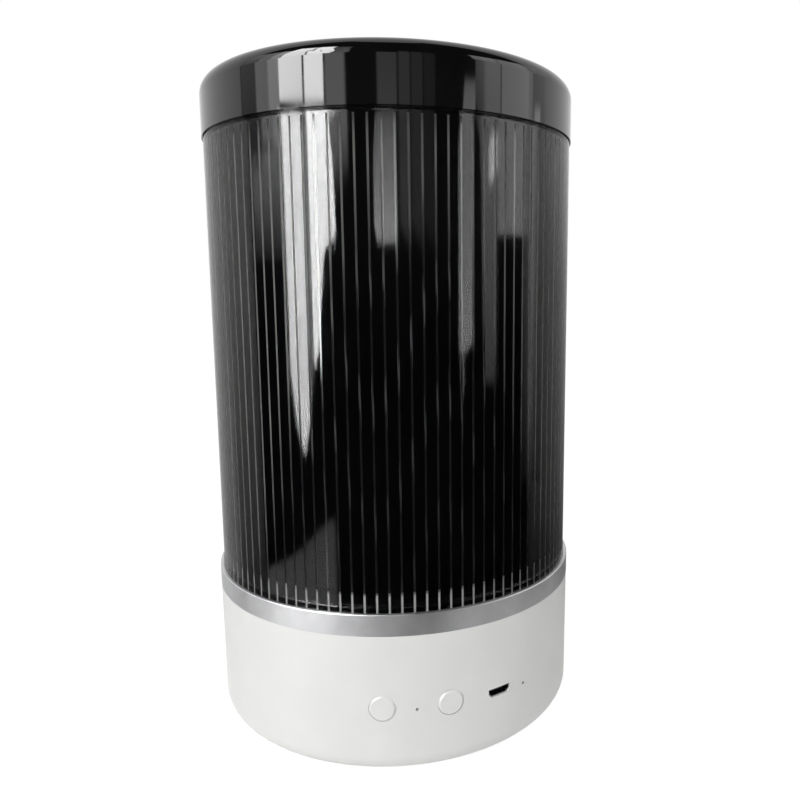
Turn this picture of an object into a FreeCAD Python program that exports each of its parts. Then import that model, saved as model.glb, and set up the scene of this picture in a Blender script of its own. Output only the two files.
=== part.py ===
import FreeCAD, Part
import functools
import math
import os
import re
import Sketcher

# Rotating motion lamp: a printed sleeve turns round a lit core, inside a clear tube lined with a
# black slit film. The origin is on the lamp's axis at the underside of its feet, +Z is up, and the
# buttons and the inlet are on the -Y side. All sizes are in millimetres and degrees.

SIZES = {
    # Base shell: a drafted cup with a neck for the trim ring and a seat for the deck.
    "base_height": 40.7,
    "base_draft": 0.25,
    "base_edge": 5.0,
    "shell_wall": 2.7,
    "neck_height": 4.0,
    "neck_wall": 2.0,
    "deck_seat_width": 3.0,
    "deck_seat_depth": 2.0,
    # Floor plate, feet and the screws that hold the floor.
    "floor_thickness": 2.4,
    "floor_inset": 7.4,
    "floor_ledge_width": 2.4,
    "floor_ledge_depth": 2.0,
    "foot_stand": 1.0,
    "foot_radius": 5.0,
    "foot_recess": 0.6,
    "foot_chamfer": 0.4,
    "foot_inset": 20.2,
    "foot_count": 4,
    "floor_screw_inset": 12.2,
    "deck_screw_inset": 9.2,
    "case_screw_count": 3,
    "case_screw_radius": 1.3,
    "case_screw_length": 9.0,
    "case_screw_head": 1.3,
    "screw_boss_wall": 2.2,
    "screw_boss_spare": 1.0,
    "deck_boss_height": 10.0,
    # Clear cover, the ring and base that stand out from it, slit film and cap.
    "cover_radius": 57.0,
    "ring_land": 1.25,
    "ring_proud": 0.05,
    "ring_height": 6.2,
    "ring_wall": 2.0,
    "ring_edge": 0.3,
    "cover_wall": 1.5,
    "cover_length": 131.3,
    "cover_band": 0.12,
    "cover_band_height": 2.3,
    "film_thickness": 0.4,
    "film_rim": 0.4,
    "slit_width": 0.6,
    "slit_count": 102,
    "cap_overhang": 0.4,
    "cap_height": 17.0,
    "cap_edge": 4.6,
    "cap_wall": 2.2,
    "cap_seam": 0.3,
    "cap_spigot": 0.5,
    "cap_spigot_wall": 1.6,
    "cap_tab_length": 8.0,
    "cap_tab_width": 10.0,
    "cap_tab_count": 2,
    "cap_boss_wall": 2.4,
    "cap_boss_gap": 1.5,
    # Deck, centre post and its nuts.
    "deck_thickness": 2.5,
    "collar_rise": 4.0,
    "collar_wall": 1.8,
    "post_radius": 5.0,
    "post_bore": 3.2,
    "post_flange_radius": 8.0,
    "post_flange": 1.5,
    "post_tail": 5.5,
    "post_pin_radius": 2.5,
    "post_pin_reach": 6.0,
    "post_port_radius": 1.8,
    "post_port_margin": 2.1,
    "post_shoulder_gap": 0.6,
    "nut_flats": 14.0,
    "nut_height": 3.0,
    "washer_thickness": 0.5,
    "clip_thickness": 0.8,
    "clip_radius": 7.0,
    "clip_groove": 0.5,
    "clip_opening": 4.0,
    # Light core: a three-sided bar with a light board on each flat. It fills the post between
    # the snap ring and the upper nut, which leaves room for the lead's port.
    "core_flat": 7.5,
    "core_corner": 2.0,
    "board_side_count": 3,
    "light_board_width": 9.0,
    "light_board_thickness": 1.2,
    "light_board_margin": 4.0,
    "emitter_count": 5,
    "emitter_size": 5.0,
    "emitter_height": 1.6,
    "emitter_lens": 2.0,
    "emitter_well": 0.4,
    # Turntable, sleeve and top spider.
    "gear_module": 0.8,
    "gear_teeth": 60,
    "pinion_teeth": 12,
    "pressure_angle": 20.0,
    "gear_backlash": 0.16,
    "gear_addendum": 0.9,
    "gear_dedendum": 1.25,
    "gear_width": 3.8,
    "gear_lift": 1.7,
    "gear_rim": 3.0,
    "web_thickness": 1.6,
    "web_window_radius": 6.0,
    "web_window_inset": 14.5,
    "web_window_count": 6,
    "hub_radius": 9.0,
    "hub_rise": 7.9,
    "bush_wall": 1.5,
    "bush_flange": 1.0,
    "sleeve_wall": 0.8,
    "sleeve_gap": 0.8,
    "sleeve_drop": 0.6,
    "rim_height": 5.0,
    "rim_wall": 1.5,
    "spider_thickness": 1.6,
    "spoke_width": 4.0,
    "spoke_count": 5,
    "spider_hub_radius": 5.6,
    "spider_hub_up": 3.0,
    "spider_hub_down": 4.0,
    "top_bush_wall": 1.1,
    # Gearmotor, hung under the deck.
    "motor_width": 12.0,
    "motor_depth": 10.0,
    "gearbox_length": 9.0,
    "can_length": 15.0,
    "can_boss_radius": 2.5,
    "can_boss_height": 0.8,
    "terminal_width": 1.6,
    "terminal_length": 2.5,
    "terminal_spread": 3.6,
    "terminal_thickness": 0.4,
    "nose_radius": 2.6,
    "nose_height": 0.7,
    "shaft_radius": 1.5,
    "shaft_reach": 7.4,
    "shaft_sunk": 3.0,
    "shaft_flat": 0.5,
    "motor_screw_spread": 4.5,
    "motor_screw_radius": 0.8,
    "motor_screw_head": 1.0,
    "motor_screw_grip": 1.6,
    "pinion_lift": 0.9,
    "pinion_drop": 0.4,
    # Controls and what stands on the main board behind them. The inlet and the microphone lie a
    # little lower than the buttons, and the charge light lower still.
    "control_height": 20.65,
    "port_drop": 0.75,
    "lamp_drop": 1.6,
    "board_thickness": 1.6,
    "board_gap": 0.5,
    "board_back": 8.0,
    "board_hole_wide": 26.0,
    "board_hole_back": 14.0,
    "board_hole_narrow": 19.0,
    "board_front_inset": 20.2,
    "board_post_radius": 3.0,
    "board_screw_radius": 1.2,
    "board_screw_head": 1.2,
    "board_screw_length": 6.0,
    "button_angle": 9.5,
    "button_radius": 3.7,
    "button_proud": 0.3,
    "button_edge": 0.5,
    "button_travel": 0.5,
    "button_flange_radius": 4.6,
    "button_flange": 1.0,
    "button_stem": 0.5,
    "button_stem_radius": 1.4,
    "button_notch_gap": 0.4,
    "switch_width": 6.0,
    "switch_height": 3.9,
    "switch_depth": 3.5,
    "switch_setback": 2.1,
    "plunger_radius": 0.9,
    "plunger_sunk": 1.2,
    "mic_hole_radius": 0.45,
    "mic_radius": 2.0,
    "mic_depth": 1.5,
    "mic_setback": 0.9,
    "mic_port_depth": 0.5,
    "usb_angle": 25.0,
    "usb_width": 7.5,
    "usb_height": 2.45,
    "usb_bevel": 1.0,
    "usb_wall": 0.25,
    "usb_depth": 5.6,
    "usb_setback": 0.45,
    "tongue_width": 3.6,
    "tongue_height": 0.6,
    "tongue_setback": 0.8,
    "lamp_angle": 34.3,
    "lamp_hole_radius": 0.45,
    "lamp_pipe_flange": 1.2,
    "lamp_width": 2.0,
    "lamp_height": 1.5,
    "lamp_depth": 1.0,
    "lamp_gap": 0.3,
    "chip_height": 1.5,
    "control_chip_length": 8.7,
    "charge_chip_length": 4.9,
    "chip_width": 3.9,
    "chip_stand": 0.1875,
    "chip_leg": 1.0,
    "chip_leg_width": 0.4,
    "chip_leg_thickness": 0.375,
    "chip_leg_pitch": 1.27,
    "header_length": 6.0,
    "header_width": 4.5,
    "header_height": 5.0,
    "header_wall": 0.7,
    "header_floor": 1.2,
    "plug_height": 6.0,
    # Rechargeable cell on its two saddles.
    "cell_radius": 9.2,
    "cell_length": 65.0,
    "cell_back": 24.0,
    "cell_lift": 0.8,
    "cell_nub_radius": 3.0,
    "cell_nub": 0.8,
    "saddle_width": 4.0,
    "saddle_spread": 20.0,
    "saddle_wall": 1.6,
    "saddle_wrap": 3.0,
    "lead_radius": 0.9,
    # A screw's cross slot, as shares of its head's radius.
    "slot_reach": 0.6,
    "slot_width": 0.13,
    # Clearances of the fits.
    "shell_gap": 0.2,
    "slip_gap": 0.1,
    "running_gap": 0.05,
    "end_float": 0.3,
}

# Places worked out from the sizes, each a formula in the same words.
PLACES = {
    "ring_radius": "cover_radius + ring_land",
    "base_radius": "ring_radius - ring_proud",
    "cap_radius": "cover_radius + cap_overhang",
    "foot_circle": "base_radius - foot_inset",
    "floor_screw_circle": "base_radius - floor_screw_inset",
    "deck_screw_circle": "base_radius - deck_screw_inset",
    "board_hole_front": "base_radius - board_front_inset",
    "floor_radius": "base_radius - floor_inset",
    "floor_bore": "floor_radius + shell_gap",
    "floor_top": "foot_stand + floor_thickness",
    "ledge_top": "floor_top + floor_ledge_depth",
    "inner_wall": "base_radius - shell_wall",
    "base_top": "foot_stand + base_height",
    "base_foot_radius": "base_radius - base_height * tan(base_draft)",
    "neck_top": "base_top + neck_height",
    "ring_bore": "ring_radius - ring_wall",
    "ring_top": "base_top + ring_height",
    "neck_radius": "ring_bore - running_gap",
    "neck_bore": "neck_radius - neck_wall",
    "deck_bottom": "base_top - deck_thickness",
    "deck_radius": "neck_bore - slip_gap",
    "deck_seat_bore": "neck_bore - deck_seat_width",
    "collar_top": "ring_top + collar_rise",
    "collar_bore": "deck_radius - collar_wall",
    "boss_radius": "case_screw_radius + screw_boss_wall",
    "boss_hole": "case_screw_radius + running_gap",
    "screw_sink": "case_screw_head + slip_gap",
    "screw_head_radius": "2 * case_screw_radius",
    "floor_screw_seat": "foot_stand + screw_sink",
    "floor_boss_top": "floor_screw_seat + case_screw_length + screw_boss_spare",
    "cover_bore": "cover_radius - cover_wall",
    "cover_top": "ring_top + cover_length",
    "cover_band_radius": "cover_radius + cover_band",
    "film_radius": "cover_bore - slip_gap",
    "film_bore": "film_radius - film_thickness",
    "cap_top": "cover_top + cap_height",
    "cap_roof": "cap_top - cap_wall",
    "cap_bore": "cap_radius - cap_wall",
    "spigot_radius": "film_bore - slip_gap",
    "spigot_bore": "spigot_radius - cap_spigot_wall",
    "sleeve_radius": "collar_bore - sleeve_gap",
    "sleeve_bore": "sleeve_radius - sleeve_wall",
    "web_window_circle": "sleeve_radius - web_window_inset",
    "rim_radius": "sleeve_bore - running_gap",
    "rim_bore": "rim_radius - rim_wall",
    "post_flange_top": "base_top + post_flange",
    "washer_top": "post_flange_top + washer_thickness",
    "bush_flange_top": "washer_top + bush_flange",
    "bush_bore": "post_radius + running_gap",
    "bush_radius": "bush_bore + bush_wall",
    "gear_bottom": "base_top + gear_lift",
    "web_bottom": "gear_bottom + gear_width",
    "web_top": "web_bottom + web_thickness",
    "hub_top": "web_top + hub_rise",
    "gear_root": "gear_module * (gear_teeth / 2 - gear_dedendum)",
    "sleeve_top": "cover_top - sleeve_drop",
    "spider_top": "sleeve_top + spider_thickness",
    "spider_hub_top": "sleeve_top + spider_hub_up",
    "spider_hub_bottom": "sleeve_top - spider_hub_down",
    "top_bush_bore": "post_pin_radius + running_gap",
    "top_bush_radius": "top_bush_bore + top_bush_wall",
    "post_shoulder": "spider_hub_bottom - post_shoulder_gap",
    "cap_boss_bottom": "spider_hub_top + cap_boss_gap",
    "post_top": "cap_boss_bottom + post_pin_reach",
    "post_bottom": "deck_bottom - post_tail",
    "nut_bottom": "deck_bottom - nut_height",
    "clip_bottom": "hub_top + end_float",
    "clip_top": "clip_bottom + clip_thickness",
    "top_nut_top": "post_shoulder - 2 * (post_port_radius + post_port_margin)",
    "core_top": "top_nut_top - nut_height",
    "core_length": "core_top - clip_top",
    "post_port": "(top_nut_top + post_shoulder) / 2",
    "light_board_bottom": "clip_top + light_board_margin",
    "light_board_length": "core_length - 2 * light_board_margin",
    "light_board_face": "core_flat + light_board_thickness",
    "emitter_pitch": "light_board_length / emitter_count",
    "gear_centres": "gear_module * (gear_teeth + pinion_teeth) / 2",
    "gearbox_bottom": "deck_bottom - gearbox_length",
    "can_bottom": "gearbox_bottom - can_length",
    "shaft_hole": "shaft_radius + running_gap",
    "motor_screw_hole": "motor_screw_radius + running_gap",
    "motor_screw_seat": "base_top - motor_screw_head - slip_gap",
    "control_face": "base_radius - (base_top - control_height) * tan(base_draft)",
    "button_face": "control_face + button_proud",
    "flange_front": "sqrt(inner_wall^2 - button_flange_radius^2) - shell_gap",
    "flange_back": "flange_front - button_flange",
    "stem_back": "flange_back - button_stem",
    "switch_front": "stem_back - switch_setback",
    "switch_back": "switch_front - switch_depth",
    "plunger_back": "switch_front - plunger_sunk",
    "mic_front": "inner_wall - mic_setback",
    "usb_front": "control_face - usb_setback",
    "usb_back": "usb_front - usb_depth",
    "pipe_radius": "lamp_hole_radius - running_gap",
    "pipe_flange_front": "sqrt(inner_wall^2 - lamp_pipe_flange^2) - running_gap",
    "pipe_flange_back": "pipe_flange_front - lamp_depth",
    "lamp_front": "pipe_flange_back - lamp_gap",
    "port_height": "control_height - port_drop",
    "lamp_level": "control_height - lamp_drop",
    "board_top": "port_height - usb_height / 2",
    "board_bottom": "board_top - board_thickness",
    "board_radius": "inner_wall - board_gap",
    "board_hole": "board_screw_radius + running_gap",
    "header_top": "board_top + header_height",
    "header_inner": "board_top + header_floor",
    "plug_top": "header_inner + plug_height",
    "cell_height": "floor_top + cell_lift + cell_radius",
}

doc = FreeCAD.newDocument("motion_lamp")
sheet = doc.addObject("Spreadsheet::Sheet", "sizes")
for row, (word, size) in enumerate(SIZES.items(), start=1):
    sheet.set(f"A{row}", word)
    sheet.set(f"B{row}", str(size))
    sheet.setAlias(f"B{row}", word)
doc.recompute()


@functools.lru_cache(maxsize=None)
def formula(words):
    """Turn a formula in plain words into one that reads the sheet."""
    def swap(match):
        word = match.group(0)
        if word in PLACES:
            return f"({formula(PLACES[word])})"
        return f"sizes.{word}" if word in SIZES else word
    return re.sub(r"[a-z_]+", swap, str(words))


@functools.lru_cache(maxsize=None)
def value(words):
    """The number that a formula in words gives now."""
    return float(sheet.evalExpression(formula(words)))


# ---- Making bodies, sketches and features -----------------------------------------------------

def new_body(name):
    body = doc.addObject("PartDesign::Body", name)
    body.Label = name
    body.AllowCompound = True
    return body


def face_outwards(body, angle, height="control_height"):
    """Set a body so that its own +Z points out of the lamp at a height."""
    place = f"placement(vector(0; 0; {formula(height)}); rotation({formula(angle)}; 0; 90))"
    body.setExpression("Placement", place)
    return body


def turn_about_axis(body, angle):
    """Turn a body about the lamp's axis."""
    body.setExpression("Placement", f"placement(vector(0; 0; 0); rotation({formula(angle)}; 0; 0))")
    return body


def sketch(body, name, plane="XY_Plane", lift="0", turn="0"):
    """A sketch on one of the body's own planes, lifted off it; an upright one can be turned."""
    made = body.newObject("Sketcher::SketchObject", f"{body.Name}_{name}")
    base = next(item for item in body.Origin.OriginFeatures if item.Role == plane)
    made.AttachmentSupport = [(base, "")]
    made.MapMode = "FlatFace"
    if plane == "XY_Plane":
        made.setExpression("AttachmentOffset.Base.z", formula(lift))
        return made
    made.AttachmentOffset = FreeCAD.Placement(
        FreeCAD.Vector(0, 0, 0), FreeCAD.Rotation(FreeCAD.Vector(0, 1, 0), value(turn)))
    made.setExpression("AttachmentOffset.Rotation.Angle", formula(turn))
    made.setExpression("AttachmentOffset.Base.x", formula(f"({lift}) * sin({turn})"))
    made.setExpression("AttachmentOffset.Base.z", formula(f"({lift}) * cos({turn})"))
    return made


def place_point(drawing, shape, end, across, up):
    """Hold one point of a drawing at a place given in words."""
    for kind, words in (("DistanceX", across), ("DistanceY", up)):
        rule = drawing.addConstraint(Sketcher.Constraint(kind, -1, 1, shape, end, value(words)))
        drawing.setExpression(f"Constraints[{rule}]", formula(words))


def outline(drawing, corners):
    """A closed outline of straight lines through corners given in words."""
    spots = [FreeCAD.Vector(value(across), value(up), 0) for across, up in corners]
    lines = [drawing.addGeometry(Part.LineSegment(spot, spots[(number + 1) % len(spots)]))
             for number, spot in enumerate(spots)]
    for number, line in enumerate(lines):
        following = lines[(number + 1) % len(lines)]
        drawing.addConstraint(Sketcher.Constraint("Coincident", line, 2, following, 1))
    for line, (across, up) in zip(lines, corners):
        place_point(drawing, line, 1, across, up)
    return drawing


def rectangle(drawing, left, right, low, high):
    return outline(drawing, [(left, low), (right, low), (right, high), (left, high)])


def circle(drawing, radius, across="0", up="0"):
    centre = FreeCAD.Vector(value(across), value(up), 0)
    shape = drawing.addGeometry(Part.Circle(centre, FreeCAD.Vector(0, 0, 1), value(radius)))
    place_point(drawing, shape, 3, across, up)
    rule = drawing.addConstraint(Sketcher.Constraint("Radius", shape, value(radius)))
    drawing.setExpression(f"Constraints[{rule}]", formula(radius))
    return drawing


def flatted_circle(drawing, radius, flat, half):
    """A round hole with one flat side, as an arc closed by a straight line."""
    start = math.atan2(value(half), value(flat))
    round_part = Part.Circle(FreeCAD.Vector(0, 0, 0), FreeCAD.Vector(0, 0, 1), value(radius))
    arc = drawing.addGeometry(Part.ArcOfCircle(round_part, start, 2 * math.pi - start))
    top = FreeCAD.Vector(value(flat), value(half), 0)
    low = FreeCAD.Vector(value(flat), -value(half), 0)
    line = drawing.addGeometry(Part.LineSegment(low, top))
    drawing.addConstraint(Sketcher.Constraint("Coincident", line, 1, arc, 2))
    drawing.addConstraint(Sketcher.Constraint("Coincident", line, 2, arc, 1))
    place_point(drawing, line, 1, flat, f"-{half}")
    place_point(drawing, line, 2, flat, half)
    rule = drawing.addConstraint(Sketcher.Constraint("Radius", arc, value(radius)))
    drawing.setExpression(f"Constraints[{rule}]", formula(radius))
    return drawing


def add(body, kind, name, drawing):
    feature = body.newObject(f"PartDesign::{kind}", f"{body.Name}_{name}")
    feature.Profile = drawing
    return feature


def pad(body, name, drawing, height, back=False):
    """Add material along the sketch's normal, or the other way."""
    feature = add(body, "Pad", name, drawing)
    feature.setExpression("Length", formula(height))
    feature.Reversed = back
    return settled(feature)


def cut(body, name, drawing, depth=None, onward=False):
    """Take material away against the sketch's normal, or along it, to a depth or right through."""
    before = body.Shape.Volume
    feature = add(body, "Pocket", name, drawing)
    feature.Reversed = onward
    if depth is None:
        feature.Type = "ThroughAll"
    else:
        feature.setExpression("Length", formula(depth))
    settled(feature)
    if body.Shape.Volume > before - 1e-6:
        raise RuntimeError(f"{feature.Name} cuts nothing")
    return feature


def spin(body, name, corners):
    """Turn an outline of (radius, height) corners about the body's own Z axis."""
    feature = add(body, "Revolution", name, outline(sketch(body, f"{name}_outline", "XZ_Plane"), corners))
    feature.ReferenceAxis = (feature.Profile[0], ["V_Axis"])
    feature.Angle = 360
    return settled(feature)


def repeat(body, name, feature, count):
    """Copy a feature evenly round the body's Z axis."""
    pattern = body.newObject("PartDesign::PolarPattern", f"{body.Name}_{name}")
    pattern.Originals = [feature]
    axis = next(item for item in body.Origin.OriginFeatures if item.Role == "Z_Axis")
    pattern.Axis = (axis, [""])
    pattern.Angle = 360
    pattern.setExpression("Occurrences", formula(count))
    body.Tip = pattern
    return settled(pattern)


def rim_edges(body, radius, height):
    """The names of the body's circular edges of this radius at this height."""
    names = []
    for number, edge in enumerate(body.Shape.Edges, start=1):
        curve = edge.Curve
        if isinstance(curve, Part.Circle) and abs(curve.Radius - value(radius)) < 1e-3 \
                and abs(curve.Center.z - value(height)) < 1e-3:
            names.append(f"Edge{number}")
    return names


def soften(body, name, kind, size, radius, height):
    """Fillet or chamfer the circular edges of a radius at a height."""
    base = body.Tip
    feature = body.newObject(f"PartDesign::{kind}", f"{body.Name}_{name}")
    feature.Base = (base, rim_edges(body, radius, height))
    feature.setExpression("Radius" if kind == "Fillet" else "Size", formula(size))
    return settled(feature)


def settled(feature):
    doc.recompute()
    if "Invalid" in feature.State or "Error" in feature.State:
        raise RuntimeError(f"{feature.Name} failed")
    return feature


def place_all(drawing, radius, spots):
    """The same circle at each of several places."""
    for across, up in spots:
        circle(drawing, radius, across, up)
    return drawing


def ring_of(circle_words, count, start):
    """Places evenly spaced round a circle, from a start angle, as formulas in words."""
    total = round(value(count))
    angles = [start + 360 / total * number for number in range(total)]
    return [(f"{circle_words} * cos({angle})", f"{circle_words} * sin({angle})") for angle in angles]


FLOOR_SCREW_START = 90
DECK_SCREW_START = 30
FOOT_START = 45


def floor_screw_spots():
    return ring_of("floor_screw_circle", "case_screw_count", FLOOR_SCREW_START)


def deck_screw_spots():
    return ring_of("deck_screw_circle", "case_screw_count", DECK_SCREW_START)


def board_screw_spots():
    return [("board_hole_wide", "-board_hole_back"), ("-board_hole_wide", "-board_hole_back"),
            ("board_hole_narrow", "-board_hole_front"), ("-board_hole_narrow", "-board_hole_front")]


def motor_screw_spots():
    return [("-gear_centres", "-motor_screw_spread"), ("-gear_centres", "motor_screw_spread")]


# ---- Casing -----------------------------------------------------------------------------------

def usb_outline(drawing, spare, up="0"):
    """The inlet's outline: flat on top, with its two lower corners cut off."""
    half = f"(usb_width / 2 + {spare})"
    tall = f"(usb_height / 2 + {spare})"
    bevel = f"(usb_bevel + {spare} / 2)"
    return outline(drawing, [
        (f"-{half}", f"{up} + {tall}"), (f"-{half}", f"{up} - {tall} + {bevel}"),
        (f"-{half} + {bevel}", f"{up} - {tall}"), (f"{half} - {bevel}", f"{up} - {tall}"),
        (half, f"{up} - {tall} + {bevel}"), (half, f"{up} + {tall}")])


def make_base_shell():
    """White moulded cup with a stepped neck, screw bosses and the openings for the controls."""
    body = new_body("base_shell")
    spin(body, "wall", [
        ("floor_bore", "foot_stand"), ("base_foot_radius", "foot_stand"), ("base_radius", "base_top"),
        ("neck_radius", "base_top"), ("neck_radius", "neck_top"), ("neck_bore", "neck_top"),
        ("neck_bore", "deck_bottom"), ("deck_seat_bore", "deck_bottom"),
        ("deck_seat_bore", "deck_bottom - deck_seat_depth"),
        ("inner_wall", "deck_bottom - deck_seat_depth - (inner_wall - deck_seat_bore)"),
        ("inner_wall", "ledge_top"), ("floor_bore - floor_ledge_width", "ledge_top"),
        ("floor_bore - floor_ledge_width", "floor_top"), ("floor_bore", "floor_top")])
    soften(body, "bottom_edge", "Fillet", "base_edge", "base_foot_radius", "foot_stand")
    floor_posts = sketch(body, "floor_boss_plan", lift="floor_top")
    pad(body, "floor_bosses", place_all(floor_posts, "boss_radius", floor_screw_spots()),
        "floor_boss_top - floor_top")
    floor_holes = sketch(body, "floor_hole_plan", lift="floor_top")
    cut(body, "floor_holes", place_all(floor_holes, "boss_hole", floor_screw_spots()),
        "floor_boss_top - floor_top - screw_boss_spare / 2", onward=True)
    deck_posts = sketch(body, "deck_boss_plan", lift="deck_bottom")
    pad(body, "deck_bosses", place_all(deck_posts, "boss_radius", deck_screw_spots()),
        "deck_boss_height", back=True)
    deck_holes = sketch(body, "deck_hole_plan", lift="deck_bottom")
    cut(body, "deck_holes", place_all(deck_holes, "boss_hole", deck_screw_spots()),
        "deck_boss_height - screw_boss_spare")
    for side, angle in (("left", "-button_angle"), ("right", "button_angle")):
        bore = sketch(body, f"{side}_button_plan", "XZ_Plane", turn=angle)
        cut(body, f"{side}_button_hole", circle(bore, "button_radius + slip_gap", up="control_height"),
            onward=True)
    mic = sketch(body, "mic_plan", "XZ_Plane")
    cut(body, "mic_hole", circle(mic, "mic_hole_radius", up="port_height"), onward=True)
    usb = sketch(body, "usb_plan", "XZ_Plane", turn="usb_angle")
    cut(body, "usb_hole", usb_outline(usb, "slip_gap", up="port_height"), onward=True)
    lamp = sketch(body, "lamp_plan", "XZ_Plane", turn="lamp_angle")
    cut(body, "lamp_hole", circle(lamp, "lamp_hole_radius", up="lamp_level"), onward=True)
    return body


def make_floor_plate():
    """Inset floor with foot recesses, sunk screw holes, board posts and saddles for the cell."""
    body = new_body("floor_plate")
    pad(body, "disc", circle(sketch(body, "disc_plan", lift="foot_stand"), "floor_radius"),
        "floor_thickness")
    posts = sketch(body, "post_plan", lift="floor_top")
    pad(body, "board_posts", place_all(posts, "board_post_radius", board_screw_spots()),
        "board_bottom - floor_top")
    saddle_half = "(cell_radius + saddle_wall)"
    for side, middle in (("left", "-saddle_spread"), ("right", "saddle_spread")):
        plan = sketch(body, f"{side}_saddle_plan", lift="floor_top")
        rectangle(plan, f"{middle} - saddle_width / 2", f"{middle} + saddle_width / 2",
                  f"cell_back - {saddle_half}", f"cell_back + {saddle_half}")
        pad(body, f"{side}_saddle", plan, "cell_height - floor_top + saddle_wrap")
    seat = sketch(body, "seat_plan", "YZ_Plane")
    circle(seat, "cell_radius + running_gap", "cell_back", "cell_height")
    trough = add(body, "Pocket", "cell_trough", seat)
    trough.Type = "ThroughAll"
    trough.Midplane = True
    settled(trough)
    feet = sketch(body, "foot_plan", lift="foot_stand")
    spots = ring_of("foot_circle", "foot_count", FOOT_START)
    cut(body, "foot_recesses", place_all(feet, "foot_radius + slip_gap", spots), "foot_recess", onward=True)
    sinks = sketch(body, "sink_plan", lift="foot_stand")
    cut(body, "screw_sinks", place_all(sinks, "screw_head_radius + slip_gap", floor_screw_spots()),
        "screw_sink", onward=True)
    holes = sketch(body, "hole_plan", lift="foot_stand")
    cut(body, "screw_holes", place_all(holes, "boss_hole", floor_screw_spots()), onward=True)
    taps = sketch(body, "tap_plan", lift="board_bottom")
    cut(body, "board_holes", place_all(taps, "board_hole", board_screw_spots()),
        "board_screw_length - board_thickness + screw_boss_spare / 2")
    return body


def make_rubber_feet():
    """Round pads, each pressed into a recess of the floor plate."""
    feet = []
    for number, (across, up) in enumerate(ring_of("foot_circle", "foot_count", FOOT_START), start=1):
        body = new_body(f"rubber_foot_{number}")
        spin(body, "pad", [
            ("0", "0"), ("foot_radius - foot_chamfer", "0"), ("foot_radius", "foot_chamfer"),
            ("foot_radius", "foot_stand + foot_recess"), ("0", "foot_stand + foot_recess")])
        body.setExpression("Placement.Base.x", formula(across))
        body.setExpression("Placement.Base.y", formula(up))
        feet.append(body)
    return feet


def screws(name, spots, seat, radius, head_radius, head_height, length, upward):
    """Round-headed screws with a cross slot, all in one node."""
    body = new_body(name)
    heads = sketch(body, "head_plan", lift=seat)
    pad(body, "heads", place_all(heads, head_radius, spots), head_height, back=upward)
    shanks = sketch(body, "shank_plan", lift=seat)
    pad(body, "shanks", place_all(shanks, radius, spots), length, back=not upward)
    face = f"{seat} - {head_height}" if upward else f"{seat} + {head_height}"
    reach = f"({head_radius}) * slot_reach"
    width = f"({head_radius}) * slot_width"
    for number, (wide, tall) in enumerate(((reach, width), (width, reach)), start=1):
        slots = sketch(body, f"slot_plan_{number}", lift=face)
        for across, up in spots:
            rectangle(slots, f"{across} - {wide}", f"{across} + {wide}", f"{up} - {tall}", f"{up} + {tall}")
        cut(body, f"slot_{number}", slots, f"{head_height} / 2", onward=upward)
    return body


def make_trim_ring():
    """Satin ring that covers the neck and takes the foot of the clear cover."""
    body = new_body("trim_ring")
    spin(body, "band", [
        ("ring_bore", "base_top"), ("ring_radius", "base_top"), ("ring_radius", "ring_top"),
        ("cover_band_radius + slip_gap", "ring_top"), ("cover_band_radius + slip_gap", "neck_top"),
        ("ring_bore", "neck_top")])
    soften(body, "top_edge", "Fillet", "ring_edge", "ring_radius", "ring_top")
    return body


def make_outer_cover():
    """Clear tube with a slightly proud seating band at its foot."""
    body = new_body("outer_cover")
    band_top = "ring_top + cover_band_height"
    spin(body, "tube", [
        ("cover_bore", "neck_top"), ("cover_band_radius", "neck_top"), ("cover_band_radius", band_top),
        ("cover_radius", band_top), ("cover_radius", "cover_top"), ("cover_bore", "cover_top")])
    return body


def make_slit_film():
    """Black liner with evenly spaced upright slits, the barrier that makes the picture move."""
    body = new_body("slit_film")
    spin(body, "liner", [
        ("film_bore", "neck_top"), ("film_radius", "neck_top"),
        ("film_radius", "cover_top"), ("film_bore", "cover_top")])
    plan = sketch(body, "slit_plan", "XZ_Plane", lift="film_bore - film_thickness")
    rectangle(plan, "-slit_width / 2", "slit_width / 2", "neck_top + film_rim", "cover_top - film_rim")
    repeat(body, "slits", cut(body, "slit", plan, "3 * film_thickness", onward=True), "slit_count")
    return body


def make_cap():
    """Glossy lid with a rounded rim, a short spigot, two tabs and a socket for the post's pin."""
    body = new_body("top_cap")
    seam_radius = "cover_radius - cap_seam"
    spin(body, "lid", [
        ("0", "cap_top"), ("cap_radius", "cap_top"), ("cap_radius", "cover_top + cap_seam"),
        (seam_radius, "cover_top + cap_seam"), (seam_radius, "cover_top"), ("spigot_radius", "cover_top"),
        ("spigot_radius", "cover_top - cap_spigot"), ("spigot_bore", "cover_top - cap_spigot"),
        ("spigot_bore", "cover_top + cap_wall"), ("cap_bore", "cover_top + 2 * cap_wall"),
        ("cap_bore", "cap_roof"), ("top_bush_bore + cap_boss_wall", "cap_roof"),
        ("top_bush_bore + cap_boss_wall", "cap_boss_bottom"), ("top_bush_bore", "cap_boss_bottom"),
        ("top_bush_bore", "post_top + slip_gap"), ("0", "post_top + slip_gap")])
    soften(body, "top_edge", "Fillet", "cap_edge", "cap_radius", "cap_top")
    chord = "sqrt(spigot_radius^2 - (cap_tab_width / 2)^2)"
    tab = sketch(body, "tab_plan", "YZ_Plane", lift=f"{chord} - cap_spigot_wall")
    rectangle(tab, "-cap_tab_width / 2", "cap_tab_width / 2", "cover_top - cap_tab_length",
              "cover_top - cap_spigot / 2")
    repeat(body, "tabs", pad(body, "tab", tab, "cap_spigot_wall"), "cap_tab_count")
    return body


# ---- Deck, post and light core ----------------------------------------------------------------

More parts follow.
